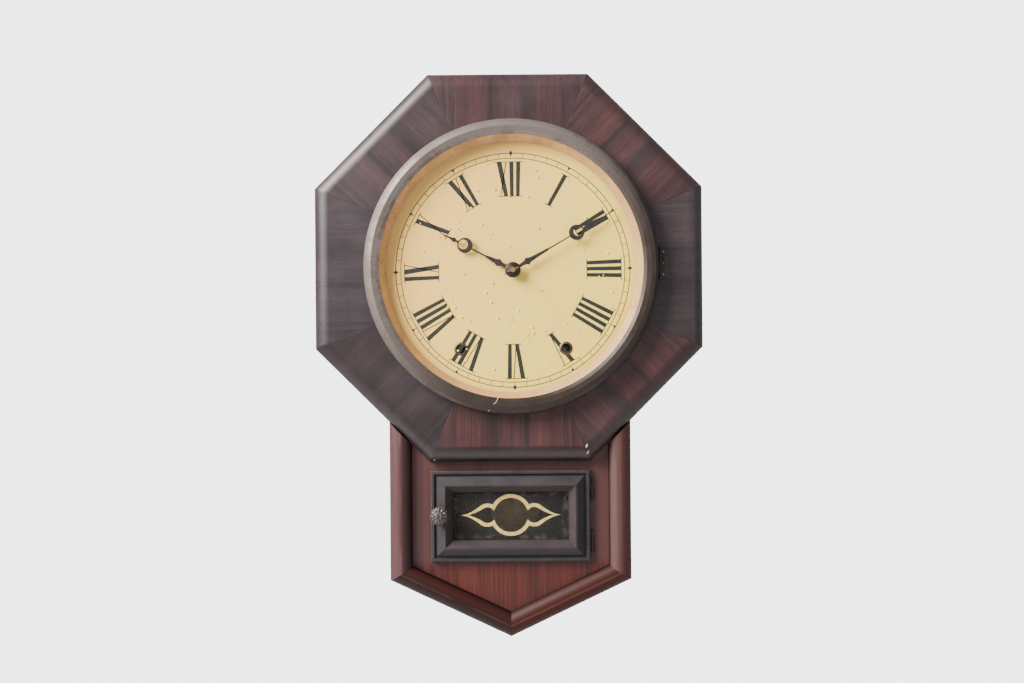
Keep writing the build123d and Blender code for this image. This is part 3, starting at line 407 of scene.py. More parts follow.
def mahogany(name, light, dark, smoked, gloss):
    f = Finish(name)
    _, _, z = f.parts(f.turned())
    streak = f.noise(f.turned((0, 0, 0), 0, (2.2, 8, 120)), 4, 0.6, 0.2)
    pores = f.noise(f.turned((0, 0, 0), 0, (0.4, 1, 7)), 3, 0.6)
    broad = f.noise(f.turned((0, 0, 0), 0, (9, 30, 260)), 2, 0.5)
    wood = f.blend((streak * 0.7 + broad * 0.5 - 0.35).above(0.0, 0.5), dark, light)
    wood = f.blend(pores.above(0.52, 0.7) * 0.5, wood, paint(40, 14, 10))
    if smoked:
        high = z.above(DOOR_LOW - 9, DOOR_LOW + 3)
        wood = f.blend(high * 0.6, wood, paint(78, 52, 52))
        tip = 1 - z.above(TIP_LOW, TIP_HIGH)
        wood = f.blend(tip * 0.2, wood, paint(60, 24, 18))
    f.set(Base_Color=wood, Roughness=gloss + pores * 0.15, Specular_IOR_Level=0.5)
    return f.bump(streak * 0.4 + pores * 0.6, 0.1, 0.4)


dress(mahogany("panel_mahogany", paint(94, 39, 30), paint(38, 17, 15), True, 0.34), "drop_front_panel")
box_finish = mahogany("box_mahogany", paint(104, 58, 44), paint(58, 30, 24), False, 0.5)
dress(box_finish, "case_side_left", "case_side_right", "case_top_board", "case_floor_left",
      "case_floor_right")
board_finish = mahogany("raw_board", paint(168, 138, 106), paint(122, 98, 76), False, 0.75)
dress(board_finish, "backboard", "movement_feet")
print("panel, five boards and the back dressed")

# %% [markdown]
# The door's frame is ebonised: stained black and polished. Where hands and cloths reached the
# slope next to the glass, the red wood shows again. Distance from the door's centre tells which
# slope a point is on, so the wear keeps to the inner one.

# %% Ebonised door frame
DOOR_CENTRE = (0, 0, -393.1)
DOOR_HALF = (78, 44.6)
INNER_SLOPE = (64.0, 30.6)
OUTER_BEAD = (76.6, 43.2)


def ebonised(name, red_share):
    f = Finish(name)
    x, _, z = f.parts(f.turned(DOOR_CENTRE))
    inner = 1 - (abs(x) - INNER_SLOPE[0]).larger(abs(z) - INNER_SLOPE[1]).above(-0.4, 1.2)
    cloud = f.noise(f.turned((0, 0, 0), 0, (14, 14, 14)), 4, 0.6)
    scratch = f.noise(f.turned((0, 0, 0), 35, (0.8, 3, 22)), 3, 0.6)
    black = f.blend(cloud, paint(27, 23, 25), paint(52, 46, 49))
    red = f.blend(cloud, paint(44, 22, 21), paint(68, 38, 36))
    wood = f.blend(inner * cloud.above(0.25, 0.6) * red_share, black, red)
    # Painted shadow: a black line in the groove next to the outer bead, and a dark line along the frame's
    # inner edge.
    inset = 0 - (abs(x) - DOOR_HALF[0]).larger(abs(z) - DOOR_HALF[1])
    painted_groove_shadow = inset.above(3.2, 3.9) * (1 - inset.above(5.4, 6.4))
    edge = 1 - (abs(x) - OUTER_BEAD[0]).larger(abs(z) - OUTER_BEAD[1]).above(-0.6, 0.4)
    wear = (1 - edge) * scratch.above(0.5, 0.62)
    wood = f.blend(wear * 0.5, wood, paint(96, 60, 50))
    wood = f.blend((painted_groove_shadow * 0.85).larger(inset.above(20.2, 21.0) * 0.7), wood, paint(10, 8, 9))
    f.set(Base_Color=wood, Roughness=0.42 + cloud * 0.2, Specular_IOR_Level=0.42)
    return f.bump(cloud * 0.6 + scratch * 0.4, 0.1, 0.35)


dress(ebonised("ebonised_dark", 0.3), "door_stile_left", "door_rail_top")
dress(ebonised("ebonised_worn", 0.3), "door_stile_right", "door_rail_bottom")
print("door frame ebonised")

# %% [markdown]
# Old brass is brown where it was never rubbed and pale where it was. The finish mixes a tarnish and a rubbed
# metal by a cloudy mask; tarnish is also rougher and less metallic. The same function serves the bezel, the
# sight ring, the eyelets and the bright brass of the movement. The bezel also gets painted shade: its colour
# darkens across its face, away from the window, and the far side's shade says what share of colour is left
# there.

# %% Metals
def metal(name, rubbed, tarnish, share, rough, metallic=0.85, cell=(9, 9, 9), specks=0.0, far_side_shade=None):
    f = Finish(name)
    cloud = f.noise(f.turned((0, 0, 0), 0, cell), 5, 0.62)
    fine = f.noise(f.turned((0, 0, 0), 0, [c * 0.12 for c in cell]), 3, 0.6)
    mask = (cloud + (fine - 0.5) * 0.35).above(share - 0.16, share + 0.16)
    colour = f.blend(mask, rubbed, tarnish)
    if far_side_shade:
        # Painted shade: the colour darkens across the face, away from the window.
        x, _, z = f.parts(f.turned(OCTAGON_CENTRE))
        colour = f.blend((x - z).above(-120, 120), colour, far_side_shade, "MULTIPLY")
    if specks:
        colour = f.blend(fine.above(0.62, 0.72) * specks, colour, paint(30, 22, 18))
    f.set(Base_Color=colour, Metallic=metallic - mask * 0.35, Roughness=rough + mask * 0.2)
    return f.bump(fine * 0.6 + mask * 0.4, 0.05, 0.4)


BEZEL_FAR_SIDE_SHADE = (0.2, 0.18, 0.16)
bezel_brass = metal("bezel_brass", paint(140, 128, 123), paint(102, 90, 84), 0.5, 0.3, 0.7, (24, 24, 24), 0.3,
                    BEZEL_FAR_SIDE_SHADE)
dress(bezel_brass, "bezel_ring", "bezel_hinge_moving_leaf")
dress(metal("hinge_brass", paint(70, 50, 44), paint(44, 32, 32), 0.5, 0.45, 0.5), "bezel_hinge_fixed_leaf")
sight_brass = metal("sight_brass", paint(214, 176, 128), paint(188, 142, 96), 0.5, 0.4, 0.5, (26, 26, 26),
                    0.15)
dress(sight_brass, "sight_ring")
dress(metal("eyelet_brass", paint(120, 100, 74), paint(66, 52, 42), 0.45, 0.4), "winding_eyelets")
dress(metal("collet_brass", paint(92, 66, 46), paint(40, 28, 24), 0.45, 0.34), "hand_collet")
dress(metal("knob_pewter", paint(96, 88, 86), paint(38, 30, 30), 0.46, 0.36, 0.75, (3, 3, 3)), "door_knob")
dress(metal("bob_brass", paint(248, 214, 160), paint(222, 184, 130), 0.55, 0.4, 0.05), "pendulum_bob")
movement_brass = metal("movement_brass", paint(196, 160, 92), paint(138, 104, 58), 0.55, 0.34)
dress(movement_brass, "movement_back_plate", "movement_front_plate", "centre_arbor", "hour_wheel",
      "motion_wheel", "time_main_wheel", "strike_main_wheel", "second_wheel", "third_wheel",
      "escape_wheel", "strike_pin_wheel", "strike_fly", "rating_nut")
steel = metal("steel", paint(150, 150, 154), paint(96, 92, 92), 0.55, 0.32, 0.95)
dress(steel, "mainsprings", "gong", "anchor", "pendulum_rod", "hammer")
iron = metal("black_iron", paint(58, 54, 56), paint(30, 26, 27), 0.5, 0.45, 0.5, (5, 5, 5))
dress(iron, "time_winding_arbor", "strike_winding_arbor", "hanger_plate", "door_hinge_fixed_leaves",
      "door_hinge_moving_leaves")
hand_iron = metal("hand_iron", paint(46, 46, 52), paint(50, 34, 28), 0.52, 0.38, 0.45, (6, 6, 6))
dress(hand_iron, "minute_hand", "hour_hand")
print("metals:", len([m for m in bpy.data.materials if m.users]))

# %% [markdown]
# Clear glass in front of print must not hide it. A true glass shader bends light and makes noise,
# so these panes are nearly see-through by their Alpha and keep only the gloss.

# %% Panes
def pane(name, colour, clear, dust):
    """Glass with dust inside an oval about the middle of the door's window."""
    f = Finish(name)
    haze = f.noise(f.turned((0, 0, 0), 0, (30, 30, 30)), 3, 0.6)
    x, _, z = f.parts(f.turned((0, 0, -393), 0, (46, 1, 20)))
    middle = 1 - (x * x + z * z).above(0.6, 1.0)
    f.set(Base_Color=colour, Roughness=0.04 + haze * 0.05, Alpha=clear + haze * 0.02 + middle * dust)
    return f


dress(pane("bezel_pane", (0.05, 0.05, 0.05), 0.02, 0.0), "bezel_glass")
dress(pane("door_pane", (0.3, 0.28, 0.25), 0.012, 0.012), "door_glass")
print("two panes")

# %% [markdown]
# The dial is printed paper on zinc. It has aged warm, a little pink at the upper left and yellow to the
# right, with brown specks. A faint dark rim next to the bezel is painted shade.

# %% Dial paper
DIAL = (4.0, -153.2)
DIAL_FRONT = 96.6
PRINT_TURN = -0.63
PX = 0.969


def dial_paper():
    f = Finish("dial_paper")
    x, _, z = f.parts(f.turned((DIAL[0], 0, DIAL[1])))
    radius = (x * x + z * z) ** 0.5
    side = (x * 0.8 - z * 0.45).above(-110, 80)
    cloud = f.noise(f.turned((0, 0, 0), 0, (40, 40, 40)), 4, 0.6)
    fine = f.noise(f.turned((0, 0, 0), 0, (1.1, 1, 1.1)), 3, 0.6)
    speck = f.noise(f.turned((0, 0, 0), 0, (2.3, 2, 2.3)), 2, 0.5)
    paper = f.blend(side, paint(255, 203, 104), paint(255, 224, 98))
    paper = f.blend(cloud.above(0.4, 0.75) * 0.3, paper, paint(248, 194, 98))
    paper = f.blend(speck.above(0.68, 0.74) * 0.4, paper, paint(176, 132, 88))
    # Painted shade: a faint dark rim at the paper's edge, next to the bezel.
    paper = f.blend(radius.above(110, 123) * 0.3, paper, paint(176, 140, 98))
    f.set(Base_Color=paper, Roughness=0.5 + fine * 0.15)
    return f.bump(fine * 0.3 + cloud * 0.7, 0.15, 0.4)


paper_finish = dial_paper()
dress(paper_finish, "dial_plate")
print("dial paper laid")

# %% [markdown]
# The print is a dark green-black ink. A picture of it is ruled out, and it would blur up close.
# So each stroke is a thin flat face just above the paper. The Roman numerals stand radially, with
# their feet to the centre. A stroke is given by its place at the outer end, its place at the inner
# end and its width, all counted clockwise from the numeral's middle line.

# %% Numerals and rings
PRINT_LIFT = 0.03
SERIF_LIFT = 0.032
MARK_LIFT = 0.04
SERIF_HALF = 0.35
SERIF_REACH = 2.6


def ink():
    f = Finish("ink")
    wear = f.noise(f.turned((0, 0, 0), 0, (2.5, 2, 2.5)), 4, 0.6)
    colour = f.blend(wear.above(0.55, 0.8) * 0.3, paint(28, 33, 26), paint(76, 76, 58))
    f.set(Base_Color=colour, Roughness=0.55)
    return f.bump(wear, 0.02, 0.3)


ink_finish = ink()


def dial_point(radius, angle, offset=0.0, lift=PRINT_LIFT):
    """A point of the print at a clock angle, moved clockwise along the tangent, in metres."""
    turn = math.radians(angle + PRINT_TURN)
    x = DIAL[0] + radius * math.sin(turn) + offset * math.cos(turn)
    z = DIAL[1] + radius * math.cos(turn) - offset * math.sin(turn)
    return (x * MM, -(DIAL_FRONT + lift) * MM, z * MM)


def mesh_piece(name, points, faces, finish, body, smooth=False):
    """A new piece from points in metres, dressed and riding on a body."""
    mesh = bpy.data.meshes.new(name)
    mesh.from_pydata(points, [], faces)
    mesh.materials.append(finish.material)
    mesh.polygons.foreach_set("use_smooth", [smooth] * len(mesh.polygons))
    piece = bpy.data.objects.new(name, mesh)
    bpy.context.scene.collection.objects.link(piece)
    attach(piece, body)
    return piece


class Print:
    """Flat four-sided faces that look to the front."""

    def __init__(self):
        self.points, self.faces = [], []

    def face(self, *corners):
        start = len(self.points)
        self.points += corners
        self.faces.append(tuple(range(start, start + len(corners))))

    def ring(self, radius, width, steps=240):
        for i in range(steps):
            a, b = 360 * i / steps, 360 * (i + 1) / steps
            low, high = radius - width / 2, radius + width / 2
            self.face(dial_point(low, a), dial_point(low, b), dial_point(high, b), dial_point(high, a))


OUTER_R, INNER_R = 108.4 * PX, 74.0 * PX
NARROWING = 0.855
THICK, X_THICK, THIN = 4.3, 5.0, 1.0
V_THICK, V_THIN = (-4.5, 0.5, 4.6), (4.5, 1.4, THIN)
X_DOWN, X_UP = (-3.5, 1.9, X_THICK), (3.5, -3.6, THIN)


def upright_stroke(place):
    return (place, place * NARROWING, THICK)


def moved(stroke, by):
    return (stroke[0] + by, stroke[1] + by * NARROWING, stroke[2])


def letter_v(by):
    return [moved(V_THICK, by), moved(V_THIN, by)]


def letter_x(by):
    return [moved(X_DOWN, by), moved(X_UP, by)]


def ones(*places):
    return [upright_stroke(place) for place in places]


NUMERALS = {
    1: ones(0), 2: ones(-3.5, 3.5), 3: ones(-7, 0, 7), 4: ones(-10.5, -3.5, 3.5, 10.5),
    5: letter_v(0), 6: letter_v(-3.8) + ones(5), 7: letter_v(-7.3) + ones(1.5, 8.5),
    8: letter_v(-10.8) + ones(-2, 5, 12), 9: ones(-7) + letter_x(3.4), 10: letter_x(0),
    11: letter_x(-4.8) + ones(4), 12: letter_x(-8.3) + ones(0.5, 7.4),
}

numerals = Print()
for hour, strokes in NUMERALS.items():
    angle = 30 * hour
    for outer, inner, width in strokes:
        half = width / 2
        numerals.face(
            dial_point(INNER_R, angle, (inner - half * NARROWING) * PX),
            dial_point(INNER_R, angle, (inner + half * NARROWING) * PX),
            dial_point(OUTER_R, angle, (outer + half) * PX), dial_point(OUTER_R, angle, (outer - half) * PX),
        )
    for radius, ends, shrink in ((OUTER_R, 0, 1.0), (INNER_R, 1, NARROWING)):
        low = min(s[ends] - s[2] / 2 * shrink for s in strokes) - SERIF_REACH
        high = max(s[ends] + s[2] / 2 * shrink for s in strokes) + SERIF_REACH
        numerals.face(
            dial_point(radius - SERIF_HALF, angle, low * PX, SERIF_LIFT),
            dial_point(radius - SERIF_HALF, angle, high * PX, SERIF_LIFT),
            dial_point(radius + SERIF_HALF, angle, high * PX, SERIF_LIFT),
            dial_point(radius + SERIF_HALF, angle, low * PX, SERIF_LIFT),
        )
mesh_piece("dial_numerals", numerals.points, numerals.faces, ink_finish, "case")

TRACK_OUT, TRACK_IN = 117.1 * PX, 112.0 * PX
track = Print()
track.ring(TRACK_OUT, 0.8)
track.ring(TRACK_IN, 0.75)
for hour in range(12):
    angle = 30 * hour
    if hour % 3 == 0:
        track.face(
            dial_point(TRACK_OUT - 2.7, angle, 0, MARK_LIFT), dial_point(TRACK_OUT, angle, 2.0, MARK_LIFT),
            dial_point(TRACK_OUT + 2.7, angle, 0, MARK_LIFT), dial_point(TRACK_OUT, angle, -2.0, MARK_LIFT),
        )
    else:
        track.face(
            dial_point(TRACK_OUT - 3.2, angle, 0, MARK_LIFT),
            dial_point(TRACK_OUT + 0.3, angle, 1.8, MARK_LIFT),
            dial_point(TRACK_OUT + 0.3, angle, -1.8, MARK_LIFT),
        )
mesh_piece("dial_minute_track", track.points, track.faces, ink_finish, "case")
print(len(numerals.faces), "numeral faces,", len(track.faces), "track faces")

# %% [markdown]
# Sixty equal minute ticks follow a rule, and so do the leaves of the door knob. Geometry Nodes
# suit both: a circle of points, one small shape on each, turned to face outward. The tree is built
# here with named inputs, and its result is kept as a plain mesh.

# %% A ring of equal shapes
def geometry_tree(name, sockets):
    """A new geometry tree with named inputs, its bench, its input node and the inputs' identifiers."""
    tree = bpy.data.node_groups.new(name, "GeometryNodeTree")
    tree.is_modifier = True
    tree.interface.new_socket(name="Geometry", in_out="OUTPUT", socket_type="NodeSocketGeometry")
    tree.interface.new_socket(name="Geometry", in_out="INPUT", socket_type="NodeSocketGeometry")
    identifiers = {}
    for label, kind in sockets.items():
        item = tree.interface.new_socket(name=label, in_out="INPUT", socket_type="NodeSocket" + kind)
        identifiers[label] = item.identifier
    bench = Bench(tree)
    return bench, bench.node("NodeGroupInput"), identifiers


def end_tree(bench, geometry, material):
    """Give the grown shape its material and send it out."""
    done = bench.node("GeometryNodeSetMaterial", {}, {"Geometry": geometry, "Material": material})
    bench.node("NodeGroupOutput", {}, {"Geometry": done.outputs[0]})


def ring_tree():
    sockets = {
        "Count": "Int", "Radius": "Float", "Length": "Float", "Width": "Float", "Height": "Float",
        "Tilt": "Float", "Turn": "Float", "Centre": "Vector", "Material": "Material",
    }
    bench, given, identifiers = geometry_tree("ring_of_shapes", sockets)
    get = given.outputs
    circle = bench.node("GeometryNodeMeshCircle", {}, {"Vertices": get["Count"], "Radius": get["Radius"]})
    ball = bench.node("GeometryNodeMeshUVSphere", {}, {"Segments": 10, "Rings": 6, "Radius": 0.5})
    size = bench.node("ShaderNodeCombineXYZ", {}, {"X": get["Length"], "Y": get["Width"], "Z": get["Height"]})
    shaped = bench.node("GeometryNodeTransform", {}, {"Geometry": ball.outputs[0], "Scale": size.outputs[0]})
    index = Value(bench, bench.node("GeometryNodeInputIndex").outputs[0])
    angle = index * (2 * math.pi) / Value(bench, get["Count"])
    facing = bench.node("ShaderNodeCombineXYZ", {}, {"Y": get["Tilt"], "Z": angle})
    placed = bench.node(
        "GeometryNodeInstanceOnPoints", {},
        {"Points": circle.outputs[0], "Instance": shaped.outputs[0], "Rotation": facing.outputs[0]},
    )
    real = bench.node("GeometryNodeRealizeInstances", {}, {"Geometry": placed.outputs[0]})
    spin = bench.node("ShaderNodeCombineXYZ", {}, {"X": math.pi / 2, "Y": get["Turn"]})
    upright = bench.node(
        "GeometryNodeTransform", {},
        {"Geometry": real.outputs[0], "Rotation": spin.outputs[0], "Translation": get["Centre"]},
    )
    end_tree(bench, upright.outputs[0], get["Material"])
    return bench.tree, identifiers


def grown(name, tree, identifiers, values, body, smooth=True, start=None):
    """Run a geometry tree on a small start mesh, keep the result as a plain mesh and let it ride."""
    mesh = start or bpy.data.meshes.new(name)
    piece = bpy.data.objects.new(name, mesh)
    bpy.context.scene.collection.objects.link(piece)
    modifier = piece.modifiers.new("grow", "NODES")
    modifier.node_group = tree
    for label, value in values.items():
        modifier[identifiers[label]] = value
    bpy.context.view_layer.update()
    shape = bpy.data.meshes.new_from_object(piece.evaluated_get(bpy.context.evaluated_depsgraph_get()))
    piece.modifiers.clear()
    piece.data = shape
    shape.name = name
    shape.polygons.foreach_set("use_smooth", [smooth] * len(shape.polygons))
    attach(piece, body)
    print(name, len(shape.polygons), "faces")
    return piece


ring, ring_inputs = ring_tree()
TRACK_MIDDLE = (TRACK_OUT + TRACK_IN) / 2 * MM
grown("dial_minute_ticks", ring, ring_inputs, {
    "Count": 60, "Radius": TRACK_MIDDLE, "Length": 5.4 * MM, "Width": 0.62 * MM, "Height": 0.06 * MM,
    "Tilt": 0.0, "Turn": math.radians(PRINT_TURN), "Centre": (DIAL[0] * MM, -DIAL_FRONT * MM, DIAL[1] * MM),
    "Material": ink_finish.material,
}, "case", False)

# %% [markdown]
# The knob is a small cast rosette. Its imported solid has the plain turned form; two rings of leaves
# are laid on its face, the outer ones sloping back to the rim. They turn with the knob.

# %% Leaves of the knob
KNOB = (-69.3, -391.4)
leaf_metal = metal("knob_leaves", paint(112, 104, 102), paint(44, 36, 36), 0.5, 0.34, 0.8, (2, 2, 2))
# Name, count, radius, length, width, depth and tilt of each ring.
for name, count, radius, length, width, depth, tilt in (
    ("knob_outer_leaves", 12, 6.5, 4.6, 3.0, 97.6, 0.45), ("knob_inner_leaves", 7, 3.0, 3.0, 2.2, 99.2, 0.45),
    ("knob_rim_beads", 20, 8.7, 1.5, 1.8, 95.6, 0.0),
):
    grown(name, ring, ring_inputs, {
        "Count": count, "Radius": radius * MM, "Length": length * MM, "Width": width * MM, "Height": 1.5 * MM,
        "Tilt": tilt, "Turn": 0.0, "Centre": (KNOB[0] * MM, -depth * MM, KNOB[1] * MM),
        "Material": leaf_metal.material,
    }, "knob")

# %% [markdown]
# Damp raised tiny blisters in the paper. They are scattered by density over a disc with a fixed
# seed, so every run puts them in the same places. Each is a flattened ball of few faces.

# %% Blisters in the paper
def blister_tree():
    sockets = {
        "Radius": "Float", "Density": "Float", "Seed": "Int", "Centre": "Vector", "Material": "Material",
    }
    bench, given, identifiers = geometry_tree("blisters", sockets)
    get = given.outputs
    disc = bench.node(
        "GeometryNodeMeshCircle", {"fill_type": "NGON"}, {"Vertices": 48, "Radius": get["Radius"]},
    )
    points = bench.node(
        "GeometryNodeDistributePointsOnFaces", {},
        {"Mesh": disc.outputs[0], "Density": get["Density"], "Seed": get["Seed"]},
    )
    ball = bench.node("GeometryNodeMeshUVSphere", {}, {"Segments": 10, "Rings": 6, "Radius": 1.0 * MM})
    flat = bench.node("GeometryNodeTransform", {}, {"Geometry": ball.outputs[0], "Scale": (1, 1, 0.8)})
    size = bench.node(
        "FunctionNodeRandomValue", {"data_type": "FLOAT"},
        {"Min_001": 0.35, "Max_001": 1.35, "Seed": get["Seed"]},
    )
    placed = bench.node(
        "GeometryNodeInstanceOnPoints", {},
        {"Points": points.outputs[0], "Instance": flat.outputs[0], "Scale": size.outputs[1]},
    )
    real = bench.node("GeometryNodeRealizeInstances", {}, {"Geometry": placed.outputs[0]})
    upright = bench.node(
        "GeometryNodeTransform", {},
        {"Geometry": real.outputs[0], "Rotation": (math.pi / 2, 0, 0), "Translation": get["Centre"]},
    )
    end_tree(bench, upright.outputs[0], get["Material"])
    return bench.tree, identifiers


blisters, blister_inputs = blister_tree()
grown("paper_blisters", blisters, blister_inputs, {
    "Radius": 106 * MM, "Density": 3000.0, "Seed": 7,
    "Centre": (DIAL[0] * MM, -(DIAL_FRONT + 0.02) * MM, DIAL[1] * MM),
    "Material": paper_finish.material,
}, "case")

# %% [markdown]
# The door's glass is painted black behind, with a clear window in the middle whose edge is drawn
# in gilt. Paint on glass is a thin sheet, so it is modelled as one: columns of faces from the
# glass's edge to the window's outline, and a second sheet for the gilt line.

# %% Tablet paint
TABLET = (0.26, -392.9)
GLASS_HALF = (61.8, 28.4)
CIRCLE_R, LOBE_R, LOBE_AT, OGEE_AT, SPIKE = 20.5, 11.4, 23.0, 30.0, 49.9
IN_CIRCLE_R, IN_LOBE_R, IN_OGEE_AT, IN_SPIKE = 16.9, 7.8, 28.2, 43.6


def outline_height(x, circle, lobe, ogee_at, spike, power):
    """Half height of the window's outline at a distance from its middle."""
    x = abs(x)
    if x >= spike:
        return 0.0
    if x > ogee_at:
        top = math.sqrt(lobe**2 - (ogee_at - LOBE_AT) ** 2)
        return top * (1 - (x - ogee_at) / (spike - ogee_at)) ** power
    heights = [0.0]
    if x < circle:
        heights.append(math.sqrt(circle**2 - x**2))
    if abs(x - LOBE_AT) < lobe:
        heights.append(math.sqrt(lobe**2 - (x - LOBE_AT) ** 2))
    return max(heights)


def tablet_point(x, z, depth):
    return ((TABLET[0] + x) * MM, -depth * MM, (TABLET[1] + z) * MM)


COLUMNS = 180
PAINT_LAP = 1
stations = [-SPIKE + 2 * SPIKE * i / COLUMNS for i in range(COLUMNS + 1)]
gilt, black = Print(), Print()
PAINT_DEPTH, GILT_DEPTH = 80.42, 80.46
low_edge, high_edge = DOOR_CENTRE[2] - GLASS_HALF[1] - TABLET[1], DOOR_CENTRE[2] + GLASS_HALF[1] - TABLET[1]
left_edge, right_edge = -GLASS_HALF[0] - TABLET[0], GLASS_HALF[0] - TABLET[0]
for a, b in zip(stations, stations[1:]):
    outer = [outline_height(x, CIRCLE_R, LOBE_R, OGEE_AT, SPIKE, 1.8) for x in (a, b)]
    inner = [outline_height(x, IN_CIRCLE_R, IN_LOBE_R, IN_OGEE_AT, IN_SPIKE, 1.5) for x in (a, b)]
    for side in (1, -1):
        edge = high_edge if side > 0 else low_edge
        gilt_face = [
            tablet_point(a, side * inner[0], GILT_DEPTH), tablet_point(b, side * inner[1], GILT_DEPTH),
            tablet_point(b, side * outer[1], GILT_DEPTH), tablet_point(a, side * outer[0], GILT_DEPTH),
        ]
        black_face = [
            tablet_point(a, side * max(outer[0] - PAINT_LAP, 0), PAINT_DEPTH),
            tablet_point(b, side * max(outer[1] - PAINT_LAP, 0), PAINT_DEPTH),
            tablet_point(b, edge, PAINT_DEPTH), tablet_point(a, edge, PAINT_DEPTH),
        ]
        gilt.face(*(gilt_face if side > 0 else reversed(gilt_face)))
        black.face(*(black_face if side > 0 else reversed(black_face)))
for start, end in ((left_edge, -SPIKE), (SPIKE, right_edge)):
    black.face(
        tablet_point(start, low_edge, PAINT_DEPTH), tablet_point(end, low_edge, PAINT_DEPTH),
        tablet_point(end, high_edge, PAINT_DEPTH), tablet_point(start, high_edge, PAINT_DEPTH),
    )


def tablet_black():
    f = Finish("tablet_black")
    x, _, z = f.parts(f.turned(DOOR_CENTRE))
    edge = (abs(x) - 50.0).larger(abs(z) - 17.0).above(-2, 7)
    cloud = f.noise(f.turned((0, 0, 0), 0, (7, 7, 7)), 5, 0.7)
    worn = edge * cloud.above(0.46, 0.62)
    f.set(Base_Color=f.blend(worn * 0.4, paint(6, 5, 5), paint(96, 92, 84)), Roughness=0.45 + worn * 0.3,
          Specular_IOR_Level=0.25)
    return f.bump(cloud, 0.03, 0.3)


def gold():
    f = Finish("gilt_line")
    cloud = f.noise(f.turned((0, 0, 0), 0, (3, 3, 3)), 4, 0.6)
    f.set(Base_Color=f.blend(cloud.above(0.4, 0.7), paint(240, 212, 130), paint(206, 168, 84)),
          Metallic=0.25 + cloud * 0.1, Roughness=0.42)
    return f.bump(cloud, 0.03, 0.3)


mesh_piece("tablet_black_paint", black.points, black.faces, tablet_black(), "door")
mesh_piece("tablet_gilt_line", gilt.points, gilt.faces, gold(), "door")
print(len(black.faces), "faces of paint,", len(gilt.faces), "of gilt")

# %% [markdown]
# A taper pin through the arbor holds the hands on. It is a small cone with closed ends, lying
# across the collet, and it turns with the minute hand.

# %% Taper pin
def taper_pin(name, start, end, radii, sides, finish, body):
    """A closed cone from one point to another, given in millimetres."""
    a, b = Vector(start) * MM, Vector(end) * MM
    along = (b - a).normalized()
    side = along.cross(Vector((0, 1, 0))).normalized()
    up = side.cross(along)
    points = []
    for centre, radius in ((a, radii[0]), (b, radii[1])):
        for i in range(sides):
            turn = 2 * math.pi * i / sides
            points.append(centre + (side * math.cos(turn) + up * math.sin(turn)) * radius * MM)
    faces = [(i, (i + 1) % sides, sides + (i + 1) % sides, sides + i) for i in range(sides)]
    faces += [tuple(reversed(range(sides))), tuple(range(sides, 2 * sides))]
    return mesh_piece(name, points, faces, finish, body, False)


PIN_DEPTH = 105.5
pin_start = (DIAL[0] - 5.2, -PIN_DEPTH, DIAL[1] - 2.0)
pin_end = (DIAL[0] + 5.6, -PIN_DEPTH, DIAL[1] + 2.4)
taper_pin("hand_taper_pin", pin_start, pin_end, (0.9, 0.55), 12, steel, "minute")
print("pin at depth", PIN_DEPTH)

# %% [markdown]
# Slotted screws hold the hinges. One geometry tree puts a head on every vertex of
# a small start mesh: a short cylinder with a slot cut through its top by a boolean.

# %% Screws
def screw_tree():
    sockets = {
        "Head radius": "Float", "Head height": "Float", "Slot width": "Float", "Facing": "Float",
        "Material": "Material",
    }
    bench, given, identifiers = geometry_tree("slotted_screws", sockets)
    get = given.outputs
    head = bench.node(
        "GeometryNodeMeshCylinder", {"fill_type": "NGON"},
        {"Vertices": 20, "Radius": get["Head radius"], "Depth": get["Head height"]},
    )
    length = Value(bench, get["Head radius"]) * 3
    cutter_size = bench.node(
        "ShaderNodeCombineXYZ", {}, {"X": length, "Y": get["Slot width"], "Z": get["Head height"]},
    )
    cutter = bench.node("GeometryNodeMeshCube", {}, {"Size": cutter_size.outputs[0]})
    rise = bench.node("ShaderNodeCombineXYZ", {}, {"Z": Value(bench, get["Head height"]) * 0.6})
    lifted = bench.node(
        "GeometryNodeTransform", {}, {"Geometry": cutter.outputs[0], "Translation": rise.outputs[0]},
    )
    slotted = bench.node(
        "GeometryNodeMeshBoolean", {"operation": "DIFFERENCE"},
        {"Mesh 1": head.outputs[0], "Mesh 2": lifted.outputs[0]},
    )
    placed = bench.node(
        "GeometryNodeInstanceOnPoints", {}, {"Points": get["Geometry"], "Instance": slotted.outputs[0]},
    )
    real = bench.node("GeometryNodeRealizeInstances", {}, {"Geometry": placed.outputs[0]})
    facing = bench.node("ShaderNodeCombineXYZ", {}, {"X": get["Facing"]})
    turned = bench.node(
        "GeometryNodeTransform", {}, {"Geometry": real.outputs[0], "Rotation": facing.outputs[0]},
    )
    end_tree(bench, turned.outputs[0], get["Material"])
    return bench.tree, identifiers


screws, screw_inputs = screw_tree()
print("screw tree ready")

# %% [markdown]
# The start mesh is only bare vertices. The tree turns the finished heads a quarter turn about X,
# to face the front, so each place is first turned back by the same quarter.

# %% Place the screws
def screw_set(name, places, radius, height, finish):
    """Slotted heads at places in millimetres: x, z and the depth of the head's middle."""
    mesh = bpy.data.meshes.new(name + "_places")
    mesh.from_pydata([(x * MM, z * MM, depth * MM) for x, z, depth in places], [], [])
    return grown(name, screws, screw_inputs, {
        "Head radius": radius * MM, "Head height": height * MM, "Slot width": radius * 0.35 * MM,
        "Facing": math.pi / 2, "Material": finish.material,
    }, "case", False, mesh)


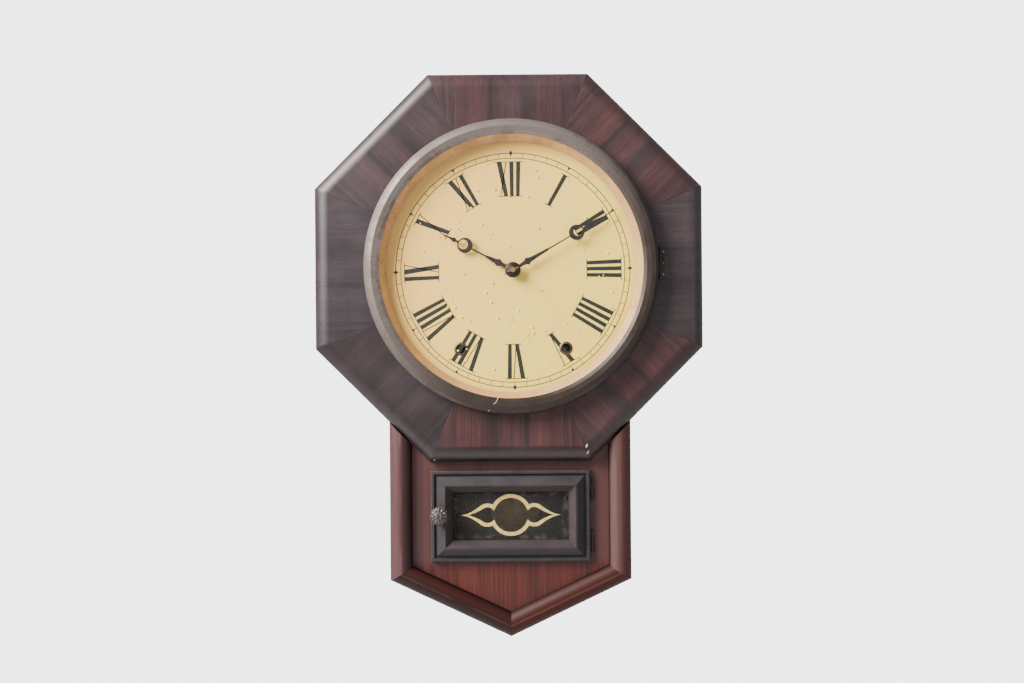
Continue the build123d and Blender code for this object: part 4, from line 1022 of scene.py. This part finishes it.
BEZEL_HINGE_Z, BEZEL_SCREW_STEP, BEZEL_SCREW_DEPTH = -147.4, 11, 96.8
BEZEL_SCREW_INSET, DOOR_SCREW_INSET = 1.4, 0.95
DOOR_SCREW_HEIGHTS, DOOR_SCREW_DEPTH = (-376.0, -370.5, -427.0, -421.5), 80.8
hinge_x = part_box("bezel_hinge_fixed_leaf")[1].x / MM - BEZEL_SCREW_INSET
bezel_places = [(hinge_x, BEZEL_HINGE_Z + BEZEL_SCREW_STEP * i, BEZEL_SCREW_DEPTH) for i in (-1, 0, 1)]
screw_set("bezel_hinge_screws", bezel_places, 0.95, 0.5, steel)
leaf_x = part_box("door_hinge_fixed_leaves")[1].x / MM - DOOR_SCREW_INSET
door_places = [(leaf_x, z, DOOR_SCREW_DEPTH) for z in DOOR_SCREW_HEIGHTS]
screw_set("door_hinge_screws", door_places, 0.85, 0.5, iron)
print(len(bezel_places) + len(door_places), "screws")

# %% [markdown]
# A pale straw has caught on the bezel under the dial. A curve with a round section suits a thin
# thing that bends over a moulding; it is turned to a plain mesh before it rides.

# %% Straw on the bezel
def thread(name, points, radius, finish, body):
    curve = bpy.data.curves.new(name, "CURVE")
    curve.dimensions, curve.use_fill_caps = "3D", True
    curve.bevel_depth, curve.bevel_resolution = radius * MM, 2
    spline = curve.splines.new("NURBS")
    spline.points.add(len(points) - 1)
    for point, (x, depth, z) in zip(spline.points, points):
        point.co = (x * MM, -depth * MM, z * MM, 1)
    spline.order_u, spline.use_endpoint_u = 3, True
    holder = bpy.data.objects.new(name, curve)
    bpy.context.scene.collection.objects.link(holder)
    bpy.context.view_layer.update()
    mesh = bpy.data.meshes.new_from_object(holder.evaluated_get(bpy.context.evaluated_depsgraph_get()))
    bpy.data.objects.remove(holder)
    mesh.name = name
    mesh.materials.clear()
    mesh.materials.append(finish.material)
    piece = bpy.data.objects.new(name, mesh)
    bpy.context.scene.collection.objects.link(piece)
    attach(piece, body)
    return piece


def straw_finish():
    f = Finish("straw")
    fibre = f.noise(f.turned((0, 0, 0), 35, (0.3, 0.3, 4)), 3, 0.6)
    f.set(Base_Color=f.blend(fibre, paint(206, 178, 132), paint(160, 126, 86)), Roughness=0.7)
    return f.bump(fibre, 0.05, 0.4)


# x, depth and z along the straw.
STRAW_POINTS = (
    (-9.2, 109.8, -273.8), (-11.5, 111.2, -277.0), (-12.6, 111.9, -280.2), (-17.0, 112.0, -283.2),
    (-20.2, 109.8, -288.8),
)
straw = thread(
    "caught_straw", STRAW_POINTS,
    0.35, straw_finish(), "bezel",
)
print("straw of", len(straw.data.polygons), "faces")
